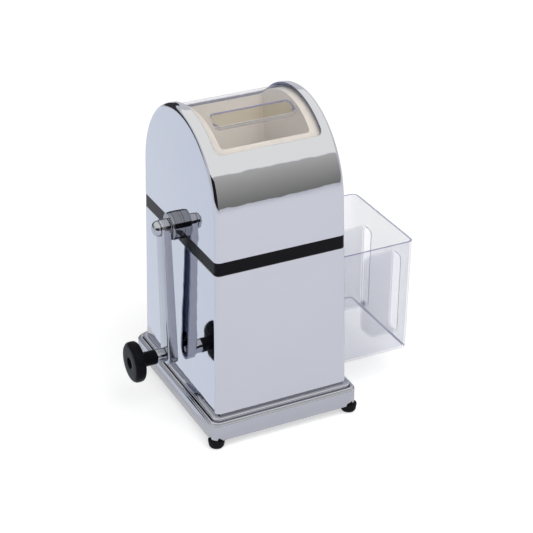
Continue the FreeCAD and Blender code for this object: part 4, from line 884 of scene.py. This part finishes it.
class CRUSHER_OT_crank_fittings(bpy.types.Operator):
    """Add the boss, the domed nut and the ferrule"""

    bl_idname = "crusher.crank_fittings"
    bl_label = "Crank Fittings"

    def execute(self, context):
        settings = context.scene.crusher_crank
        look = material("chrome_fittings", fittings_finish, turned=(1.0, 0.01, 0.01))
        boss_low, boss_high = low("shaft_boss"), high("shaft_boss")
        boss_radius = radius_of("shaft_boss")
        groove = settings.boss_groove
        floor, rim = boss_radius - groove, boss_radius - 0.3
        outer, inner = boss_low.x + 2.0, boss_high.x - 1.0
        boss = [
            (boss_low.x, settings.boss_bore),
            (boss_low.x, rim, 1.2),
            (outer, rim),
            (outer, floor),
            (outer + groove, floor),
            (outer + groove, boss_radius),
            (inner - groove, boss_radius),
            (inner - groove, floor),
            (inner, floor),
            (inner, boss_radius),
            (boss_high.x, boss_radius),
            (boss_high.x, settings.boss_bore),
        ]
        bm = lathe(boss, (0, 0, SHAFT_HEIGHT))
        # Painted shade: the boss's plating is darkened to 0.62 of the fittings' tint to stand for the dark
        # reflections under it.
        shaded_boss_look = material("boss_plating", fittings_finish, turned=(1.0, 0.01, 0.01), tone=0.62)
        finish_piece(bm, "shaft_boss", "housing", shaded_boss_look)
        nut_radius = radius_of("dome_nut")
        seat = high("dome_nut").x + settings.arm_slimming
        crown = low("drive_shaft").x - settings.nut_relief
        reach = seat - crown
        domed, fullness = 0.9 * reach, 0.8
        dome = [
            (crown + domed * (1 - cos(radians(turn))), nut_radius * sin(radians(turn)) ** fullness)
            for turn in range(0, 90, 6)
        ]
        nut = [*dome, (crown + domed, nut_radius), (seat, nut_radius), (seat, 0.0)]
        bm = lathe(nut, (0, 0, SHAFT_HEIGHT))
        finish_piece(bm, "dome_nut", "crank", look, 50.0)
        collar_low, collar_high = low("handle_collar"), high("handle_collar")
        radius = radius_of("handle_collar")
        collar = [
            (collar_low.x, settings.collar_bore),
            (collar_low.x, radius, 0.6),
            (collar_high.x, radius, 0.4),
            (collar_high.x, settings.collar_bore),
        ]
        bm = lathe(collar, (0, 0, KNOB_HEIGHT))
        finish_piece(bm, "handle_collar", "crank", look)
        return {"FINISHED"}


class CRUSHER_OT_crank_arm(bpy.types.Operator):
    """Add the crank's channel arm"""

    bl_idname = "crusher.crank_arm"
    bl_label = "Crank Arm"

    def execute(self, context):
        settings = context.scene.crusher_crank
        look = material("chrome_arm", fittings_finish, turned=(1.0, 1.0, 0.02))
        blank_top = low("crank_arm").x + settings.arm_inset
        outer_top = blank_top + settings.arm_slimming
        inner_top = blank_top + settings.arm_top_depth
        inner_low = inner_top + settings.arm_lean
        outer_low = inner_low - settings.arm_low_depth
        slope_outer = (outer_low - outer_top) / (SHAFT_HEIGHT - KNOB_HEIGHT)
        slope_inner = (inner_low - inner_top) / (SHAFT_HEIGHT - KNOB_HEIGHT)
        bm = bmesh.new()
        ends = []
        for height, radius in (
            (SHAFT_HEIGHT, -settings.arm_top_radius),
            (KNOB_HEIGHT, settings.arm_bottom_radius),
        ):
            start = bm.verts.new(Vector((0, radius, height)) * MM)
            far, _ = drag(bm, [start], [], -pi, Vector((0, 0, height)) * MM, (1, 0, 0), (0, 0, 0), 24)
            ends += [start, far[0]]
        bm.edges.new((ends[1], ends[2]))
        bm.edges.new((ends[3], ends[0]))
        bmesh.ops.contextual_create(bm, geom=list(bm.edges))
        extrude(bm, bm.faces[:], 1.0)
        tidy(bm)
        back = max(bm.faces, key=lambda item: item.calc_center_median().x)
        bmesh.ops.inset_region(bm, faces=[back], thickness=settings.arm_wall * MM, use_even_offset=True)
        back = max(bm.faces, key=lambda item: (round(item.calc_center_median().x / MM, 3), item.calc_area()))
        floor = set(extrude(bm, [back]))
        bmesh.ops.delete(bm, geom=[back], context="FACES_ONLY")
        for vert in bm.verts:
            down = SHAFT_HEIGHT - vert.co.z / MM
            outer_x = outer_top + slope_outer * down
            inner_x = inner_top + slope_inner * down
            if vert in floor:
                vert.co.x = (outer_x + settings.arm_wall) * MM
            else:
                vert.co.x = (inner_x if vert.co.x > 0.5 * MM else outer_x) * MM
        bmesh.ops.recalc_face_normals(bm, faces=bm.faces)
        rim = edges_where(
            bm, lambda co: abs(co.x - outer_top - slope_outer * (SHAFT_HEIGHT - co.z)) < NEAR
        )
        round_edges(bm, rim, settings.arm_edge, 6)
        finish_piece(bm, "crank_arm", "crank", look)
        return {"FINISHED"}


class CRUSHER_OT_knob(bpy.types.Operator):
    """Add the black knob"""

    bl_idname = "crusher.knob"
    bl_label = "Knob"

    def execute(self, context):
        settings = context.scene.crusher_crank
        outer, stem_end = low("knob").x, high("knob").x
        radius = radius_of("knob")
        disc_inner = outer + settings.disc_width
        floor = outer + settings.dimple_depth
        stem, bore = settings.stem, settings.knob_bore
        profile = [
            (stem_end, bore),
            (stem_end, stem, 0.5),
            (disc_inner, stem, 1.0),
            (disc_inner, radius, settings.disc_edge - 0.4),
            (outer, radius, settings.disc_edge),
            (outer, settings.dimple, 0.5),
            (floor, settings.dimple),
            (floor, bore),
        ]
        bm = lathe(profile, (0, 0, KNOB_HEIGHT))
        look = material("black_knob", black_plastic_finish, gloss=0.24, shine=0.035)
        finish_piece(bm, "knob", "knob", look)
        return {"FINISHED"}


# Clear pieces


def clear_wall(piece, thickness, rounding, even=True):
    """Gives a clear skin its wall, with a rim painted as a dark line of painted shade."""
    piece.data.materials.append(material("clear_rim", painted_line_finish))
    wall = piece.modifiers.new("wall", "SOLIDIFY")
    wall.thickness = thickness * MM
    wall.offset = -1.0
    wall.use_even_offset = even
    wall.material_offset_rim = 1
    lip(piece, rounding)


# The shares of the pocket's slope at which its rim starts and its floor takes over
POCKET_EDGE = 0.02
POCKET_RIM = 0.4


class CRUSHER_OT_lid(bpy.types.Operator):
    """Add the clear lid with its finger pocket"""

    bl_idname = "crusher.lid"
    bl_label = "Lid"

    def execute(self, context):
        settings = context.scene.crusher_clear
        radius = high("lid").z - SPRING
        half_x = high("lid").x
        start = settings.lid_end
        axis = Vector((0, 0, SPRING)) * MM
        bm = bmesh.new()
        verts, edges = chain(
            bm, [(x, -radius * cos(start), SPRING + radius * sin(start)) for x in (-half_x, half_x)]
        )
        drag(bm, verts, edges, -(pi - 2 * start), axis, (1, 0, 0), (0, 0, 0), settings.lid_rows)
        across = [edge for edge in bm.edges if edge.calc_length() > half_x * MM]
        bmesh.ops.subdivide_edges(bm, edges=across, cuts=settings.lid_cuts, use_grid_fill=True)
        for vert in bm.verts:
            spoke = vert.co - axis
            spoke.x = 0.0
            turn = atan2(spoke.z, -spoke.y)
            vert.co -= spoke.normalized() * self.pocket_depth(settings, radius, vert.co.x / MM, turn) * MM
        tidy(bm)
        for face in bm.faces:
            middle = face.calc_center_median() - axis
            if face.normal.dot(middle) < 0:
                face.normal_flip()
            turn = atan2(middle.z, -middle.y)
            share, up = self.pocket_share(settings, radius, middle.x / MM, turn)
            if share > POCKET_EDGE:
                on_lip, on_rim = up < settings.pocket_slope, share < POCKET_RIM
                # Slot 2 is the lip's painted highlight, slot 1 the rim's painted shade, slot 3 the pocket
                # floor's painted shade.
                face.material_index = 2 if on_lip else 1 if on_rim else 3
        tints = finishes()
        look = material("clear_lid", clear_finish, veil=0.05, edge=0.45, edge_tint=tints.lid_edge_on_painted_shade)
        # Painted highlight on the pocket's lower lip; painted shade on its floor, for the hopper's shaded
        # rear wall seen through it.
        lip_highlight_look = material("clear_lip", painted_line_finish, cover=0.7, edge=tints.pocket_lip_highlight)
        shaded_floor_look = material("clear_pocket", clear_finish, veil=0.14, edge=0.3, tint=tints.pocket_floor_shade)
        piece = finish_piece(bm, "lid", "lid", look, 60.0)
        clear_wall(piece, settings.wall, 0.3, even=False)
        piece.data.materials.append(lip_highlight_look)
        piece.data.materials.append(shaded_floor_look)
        return {"FINISHED"}

    def pocket_share(self, settings, radius, x, turn):
        """How far down the pocket's sloping side a place of the lid is, from 0 to 1, and its height over
        the pocket's lower edge."""
        low_edge, high_edge = settings.pocket_low, settings.pocket_high
        half_up = radius * (high_edge - low_edge) / 2
        up = radius * (turn - low_edge)
        corner = settings.pocket_corner
        beyond_x = max(abs(x) - settings.lid_pocket_half + corner, 0.0)
        beyond_up = max(abs(up - half_up) - half_up + corner, 0.0)
        inwards = corner - hypot(beyond_x, beyond_up)
        return min(max(inwards / settings.pocket_slope, 0.0), 1.0), up

    def pocket_depth(self, settings, radius, x, turn):
        """How deep the skin is pressed in at a place of the lid: deepest along the pocket's lower edge."""
        share, up = self.pocket_share(settings, radius, x, turn)
        rise = radius * (settings.pocket_high - settings.pocket_low)
        fall = min(max(1 - up / rise, 0.0), 1.0)
        depth = settings.pocket_shallow + (settings.lid_pocket_depth - settings.pocket_shallow) * fall
        return depth * share * share * (3 - 2 * share)


# How steep a bend of the bin is where it gathers the light and gets a line of painted shade, as the share of
# its normal
FLOOR_BEND = (0.55, 0.8)
MOUTH_BEND = (0.35, 0.8)
FLAT = 0.99


class CRUSHER_OT_ice_bin(bpy.types.Operator):
    """Add the clear ice bin with its finger slots"""

    bl_idname = "crusher.ice_bin"
    bl_label = "Ice Bin"

    def execute(self, context):
        settings = context.scene.crusher_clear
        corner_low, corner_high = low("ice_bin"), high("ice_bin")
        span = corner_high - corner_low
        middle = (corner_high + corner_low) / 2
        bm = block(corner_low, corner_high)
        for vert in bm.verts:
            if vert.co.z / MM < middle.z:
                vert.co.x -= (1 if vert.co.x / MM > middle.x else -1) * settings.bin_taper * MM
                vert.co.y -= (1 if vert.co.y > 0 else -1) * settings.bin_taper * MM

        corners = [
            edge for edge in bm.edges if abs(edge.verts[0].co.z - edge.verts[1].co.z) > span.z / 2 * MM
        ]
        round_edges(bm, corners, settings.bin_corner, 8)
        floor_ring = edges_where(bm, lambda co: co.z < corner_low.z + NEAR)
        round_edges(bm, floor_ring, settings.bin_floor_round, 5)
        self.press_slots(bm, settings, corner_high.x)
        roof = [face for face in bm.faces if face.calc_center_median().z / MM > corner_high.z - NEAR]
        bmesh.ops.delete(bm, geom=roof, context="FACES_ONLY")
        bmesh.ops.recalc_face_normals(bm, faces=bm.faces)
        by_the_floor = corner_low.z + settings.bin_floor_round
        by_the_end = corner_high.x - settings.bin_taper - 2 * settings.slot_mouth
        beside_the_slots = settings.slot_place + settings.slot_half_width + 2 * settings.slot_mouth
        # Bends of the floor and mouth take the dark rim colour of painted shade; the slots' walls take their
        # own veil.
        for face in bm.faces:
            place = face.calc_center_median() / MM
            floor_bend = place.z < by_the_floor and FLOOR_BEND[0] < -face.normal.z < FLOOR_BEND[1]
            near_mouth = place.x > by_the_end and abs(place.y) < beside_the_slots
            if floor_bend or near_mouth and MOUTH_BEND[0] < face.normal.x < MOUTH_BEND[1]:
                face.material_index = 1
            elif self.in_slot(settings, place, corner_high.x):
                face.material_index = 2
        look = material("clear_bin", clear_finish, veil=0.15, edge=0.5)
        piece = finish_piece(bm, "ice_bin", "bin", look, 25.0)
        clear_wall(piece, settings.wall, 0.4)
        piece.data.materials.append(material("clear_slot", clear_finish, veil=0.1, edge=0.3))
        return {"FINISHED"}

    def in_slot(self, settings, place, end):
        """Whether a place of the bin lies on the walls of a finger slot."""
        spare = 0.5
        beside = abs(abs(place.y) - settings.slot_place) < settings.slot_half_width + spare
        within = settings.slot_bottom - spare < place.z < settings.slot_top + spare
        inner, outer = end - settings.slot_depth - 2 * spare, end - settings.bin_taper - 2 * spare
        return beside and within and inner < place.x < outer

    def press_slots(self, bm, settings, end):
        """Presses the two finger slots into the bin's outer end."""
        middle, half = settings.slot_place, settings.slot_half_width
        sides = [side * middle + edge * half for side in (-1, 1) for edge in (-1, 1)]
        cuts = [((0, y, 0), (0, 1, 0)) for y in sides]
        cuts += [((0, 0, height), (0, 0, 1)) for height in (settings.slot_bottom, settings.slot_top)]
        for place, normal in cuts:
            outer = [face for face in bm.faces if face.normal.x > FLAT]
            around = {item for face in outer for item in (*face.verts, *face.edges)}
            bmesh.ops.bisect_plane(bm, geom=[*outer, *around], plane_co=Vector(place) * MM, plane_no=normal)

        def in_a_slot(face):
            place = face.calc_center_median() / MM
            beside = abs(abs(place.y) - middle) < half
            return face.normal.x > FLAT and beside and settings.slot_bottom < place.z < settings.slot_top

        mouths = [face for face in bm.faces if in_a_slot(face)]
        inner_end = end - settings.slot_depth
        pressed = extrude(bm, mouths)
        bmesh.ops.delete(bm, geom=mouths, context="FACES_ONLY")
        for vert in pressed:
            vert.co.x = inner_end * MM
        deep = [
            edge for edge in edges_where(bm, lambda co: abs(co.x - inner_end) < NEAR)
            if abs(edge.verts[0].co.y - edge.verts[1].co.y) > half * MM
        ]
        round_edges(bm, deep, settings.slot_corner, 6)
        outside = end - settings.bin_taper - NEAR
        along = [
            edge
            for y in sides
            for edge in edges_where(bm, lambda co: abs(co.y - y) < NEAR)
            if min(vert.co.x for vert in edge.verts) / MM < outside
        ]
        round_edges(bm, along, settings.slot_round, 4)

        def on_the_end(co):
            beside = abs(abs(co.y) - middle) < half + NEAR
            within = settings.slot_bottom - NEAR < co.z < settings.slot_top + NEAR
            return co.x > outside and beside and within

        mouth = [edge for edge in edges_where(bm, on_the_end) if edge.calc_face_angle(0.0) > radians(45)]
        round_edges(bm, mouth, settings.slot_mouth, 4)


# CAD nodes that keep their own shape


class CRUSHER_OT_inner_works(bpy.types.Operator):
    """Finish the hopper, the mechanism and the fasteners"""

    bl_idname = "crusher.inner_works"
    bl_label = "Inner Works"

    def execute(self, context):
        looks = {
            "cream_moulding": (cream_finish, {}, "hopper crusher_cradle"),
            "nylon": (nylon_finish, {}, "crank_side_bush bin_side_bush"),
            "black_gloss": (black_plastic_finish, {}, "shaft_washer"),
            "long_steel": (steel_finish, {"grain": (0.05, 1.0, 1.0)}, "drive_shaft"),
            "ground_steel": (steel_finish, {}, "crusher_wheels front_comb rear_comb shaft_clip"),
            "turned_steel": (
                steel_finish, {},
                "wheel_spacers handle_spindle foot_screws base_screws band_screws housing_screws "
                "cradle_screws comb_screws",
            ),
        }
        for name, (recipe, settings, nodes) in looks.items():
            for node in nodes.split():
                self.dress(frame["nodes"][node], material(name, recipe, **settings))
        return {"FINISHED"}

    def dress(self, piece, look):
        """Gives a CAD node its finish and its smooth, sharp-edged shading."""
        piece.data.materials.clear()
        piece.data.materials.append(look)
        piece.data.shade_smooth()
        weld = piece.modifiers.new("weld", "WELD")
        weld.merge_threshold = WELD_REACH * MM
        split = piece.modifiers.new("edges", "EDGE_SPLIT")
        split.split_angle = radians(30)


# Stage, light and camera


def emission_material(name, tint, foot_tint, height):
    """A glowing card whose tint changes from its foot to a height in metres."""
    made = bpy.data.materials.new(name)
    made.use_nodes = True
    made.node_tree.nodes.clear()
    nodes = Nodes(made.node_tree)
    up = nodes.node("ShaderNodeSeparateXYZ", inputs={0: nodes.own_place()}, output="Z")
    rise = nodes.node("ShaderNodeMapRange", inputs={"Value": up, "From Max": height})
    glow = nodes.node("ShaderNodeEmission", inputs={"Color": nodes.mix(rise, foot_tint, tint)})
    nodes.node("ShaderNodeOutputMaterial", inputs={"Surface": glow})
    return made


def floor_material(mirrored_glow=0.36, seen_glow=0.18):
    """White paper that shows as white to the camera, in metal and through glass, and keeps the shadow."""
    finish = Finish("white_paper", Roughness=0.9, Specular_IOR_Level=0.0)
    finish.two_tone(finish.noise(500.0), finishes().paper, 0.99)
    seen = finish.node("ShaderNodeLightPath", output="Is Camera Ray")
    strength = finish.shown_rays() * mirrored_glow + seen * seen_glow
    glow = finish.node("ShaderNodeEmission", inputs={"Strength": strength})
    paper = Value(finish, finish.shader.outputs[0])
    both = finish.node("ShaderNodeAddShader", inputs={0: paper, 1: glow})
    finish.feed(finish.tree.nodes["Material Output"].inputs["Surface"], both)
    return finish.material


def card(name, corners, look):
    """A flat stage card through four corners in metres."""
    bm = bmesh.new()
    bm.faces.new([bm.verts.new(corner) for corner in corners])
    piece = object_from(bm, name, name)
    piece.data.materials.append(look)
    return piece


def mirrored_card(name, corners, tint, foot_tint):
    """A card that only shows as a reflection in the chrome."""
    height = max(corner[2] for corner in corners)
    piece = card(name, corners, emission_material(name, tint, foot_tint, height))
    piece.visible_camera = False
    piece.visible_diffuse = False
    piece.visible_shadow = False
    piece.visible_transmission = False


def softbox(name, place, size, power):
    """An area lamp aimed at the object, which lights but isn't mirrored."""
    lamp = bpy.data.lights.new(name, "AREA")
    lamp.shape = "RECTANGLE"
    lamp.size, lamp.size_y = size
    lamp.energy = power
    holder = bpy.data.objects.new(name, lamp)
    holder.location = place
    holder.rotation_mode = "QUATERNION"
    holder.rotation_quaternion = (Vector(LAMP_TARGET) - Vector(place)).to_track_quat("-Z", "Y")
    holder.visible_glossy = False
    bpy.context.scene.collection.objects.link(holder)


FLOOR = ((-9, -9, 0), (9, -9, 0), (9, 9, 0), (-9, 9, 0))
MIRRORED_CARDS = {
    "grey_wall": (
        ((-4, -2.6, 0.0), (5, -2.6, 0.0), (5, -2.6, 2.1), (-4, -2.6, 2.1)),
        (0.66, 0.645, 0.575),
        (0.27, 0.265, 0.235),
    ),
    "dark_front": (
        ((-3.5, -1.2, 0.04), (-0.5, -2.5, 0.04), (-0.5, -2.5, 1.7), (-3.5, -1.2, 1.7)),
        (0.02, 0.018, 0.02),
    ),
    # Painted light: a glowing card lying on the floor by the object's left, seen only in reflections, which
    # covers the object's shadow there.
    "painted_light_card": (
        ((-1.7, -0.03, 0.002), (-0.078, -0.03, 0.002), (-0.078, 1.7, 0.002), (-1.7, 1.7, 0.002)),
        (0.93, 0.98, 1.03),
    ),
    "white_ceiling": (
        ((-4, -2.6, 2.15), (5, -2.6, 2.15), (5, 5, 3.6), (-4, 5, 3.6)),
        (1.25, 1.23, 1.10),
    ),
    "dark_back": (
        ((-7, 2.6, 0.05), (1.2, 3.4, 0.05), (1.2, 3.4, 1.5), (-7, 2.6, 1.5)),
        (0.05, 0.05, 0.055),
    ),
}
LAMP_TARGET = (0, 0, 0.1)
SOFTBOXES = {
    "key": ((0.3, -0.9, 1.7), (1.6, 1.2), 18.0),
    "left": ((-1.6, -0.6, 0.9), (0.5, 1.0), 5.0),
}
WORLD_LIGHT = 0.66
CAMERA_PLACE = (-0.5289, -1.1193, 0.7861)
CAMERA_AZIMUTH = radians(-26.197)
CAMERA_ELEVATION = radians(28.475)
CAMERA_LENS = 114.33
CAMERA_SENSOR = 36.0
CAMERA_REACH = 50.0


class CRUSHER_OT_stage(bpy.types.Operator):
    """Add the floor, the light and the camera"""

    bl_idname = "crusher.stage"
    bl_label = "Stage"

    def execute(self, context):
        scene = context.scene
        scene.view_settings.view_transform = "Standard"
        card("floor", FLOOR, floor_material())
        for name, (corners, *tints) in MIRRORED_CARDS.items():
            mirrored_card(name, corners, tints[0], tints[-1])
        for name, settings in SOFTBOXES.items():
            softbox(name, *settings)
        scene.world = bpy.data.worlds.new("studio")
        scene.world.use_nodes = True
        scene.world.node_tree.nodes.clear()
        nodes = Nodes(scene.world.node_tree)
        strength = WORLD_LIGHT + (1.0 - WORLD_LIGHT) * nodes.shown_rays()
        sky = nodes.node("ShaderNodeBackground", inputs={"Strength": strength})
        nodes.node("ShaderNodeOutputWorld", inputs={"Surface": sky})
        camera = bpy.data.cameras.new("camera")
        camera.lens = CAMERA_LENS
        camera.sensor_width = CAMERA_SENSOR
        camera.clip_end = CAMERA_REACH
        back = Vector((
            sin(CAMERA_AZIMUTH) * cos(CAMERA_ELEVATION),
            -cos(CAMERA_AZIMUTH) * cos(CAMERA_ELEVATION),
            sin(CAMERA_ELEVATION),
        ))
        holder = bpy.data.objects.new("camera", camera)
        holder.location = CAMERA_PLACE
        holder.rotation_mode = "QUATERNION"
        holder.rotation_quaternion = (-back).to_track_quat("-Z", "Y")
        scene.collection.objects.link(holder)
        scene.camera = holder
        return {"FINISHED"}


OPERATORS = (
    CRUSHER_OT_stage,
    CRUSHER_OT_upper_housing,
    CRUSHER_OT_lower_housing,
    CRUSHER_OT_trim_band,
    CRUSHER_OT_base,
    CRUSHER_OT_feet,
    CRUSHER_OT_crank_fittings,
    CRUSHER_OT_crank_arm,
    CRUSHER_OT_knob,
    CRUSHER_OT_lid,
    CRUSHER_OT_ice_bin,
    CRUSHER_OT_inner_works,
)
SETTINGS = {
    "crusher_housing": HousingSettings,
    "crusher_base": BaseSettings,
    "crusher_crank": CrankSettings,
    "crusher_clear": ClearSettings,
    "crusher_finishes": FinishSettings,
}


class CRUSHER_PT_pieces(bpy.types.Panel):
    """Lists the ice crusher's settings and pieces"""

    bl_idname = "CRUSHER_PT_pieces"
    bl_label = "Ice Crusher"
    bl_space_type = "VIEW_3D"
    bl_region_type = "UI"
    bl_category = "Ice Crusher"

    def draw(self, context):
        for name in SETTINGS:
            group = getattr(context.scene, name)
            column = self.layout.box().column()
            for setting in group.bl_rna.properties.keys():
                if setting not in {"rna_type", "name"}:
                    column.prop(group, setting)
        for operator in OPERATORS:
            self.layout.operator(operator.bl_idname)


def register():
    for group in (*SETTINGS.values(), *OPERATORS, CRUSHER_PT_pieces):
        bpy.utils.register_class(group)
    for name, group in SETTINGS.items():
        setattr(bpy.types.Scene, name, PointerProperty(type=group))


def unregister():
    for name in SETTINGS:
        delattr(bpy.types.Scene, name)
    for group in reversed((*SETTINGS.values(), *OPERATORS, CRUSHER_PT_pieces)):
        bpy.utils.unregister_class(group)


def main():
    register()
    for operator in OPERATORS:
        group, name = operator.bl_idname.split(".")
        getattr(getattr(bpy.ops, group), name)()


if __name__ == "__main__":
    main()
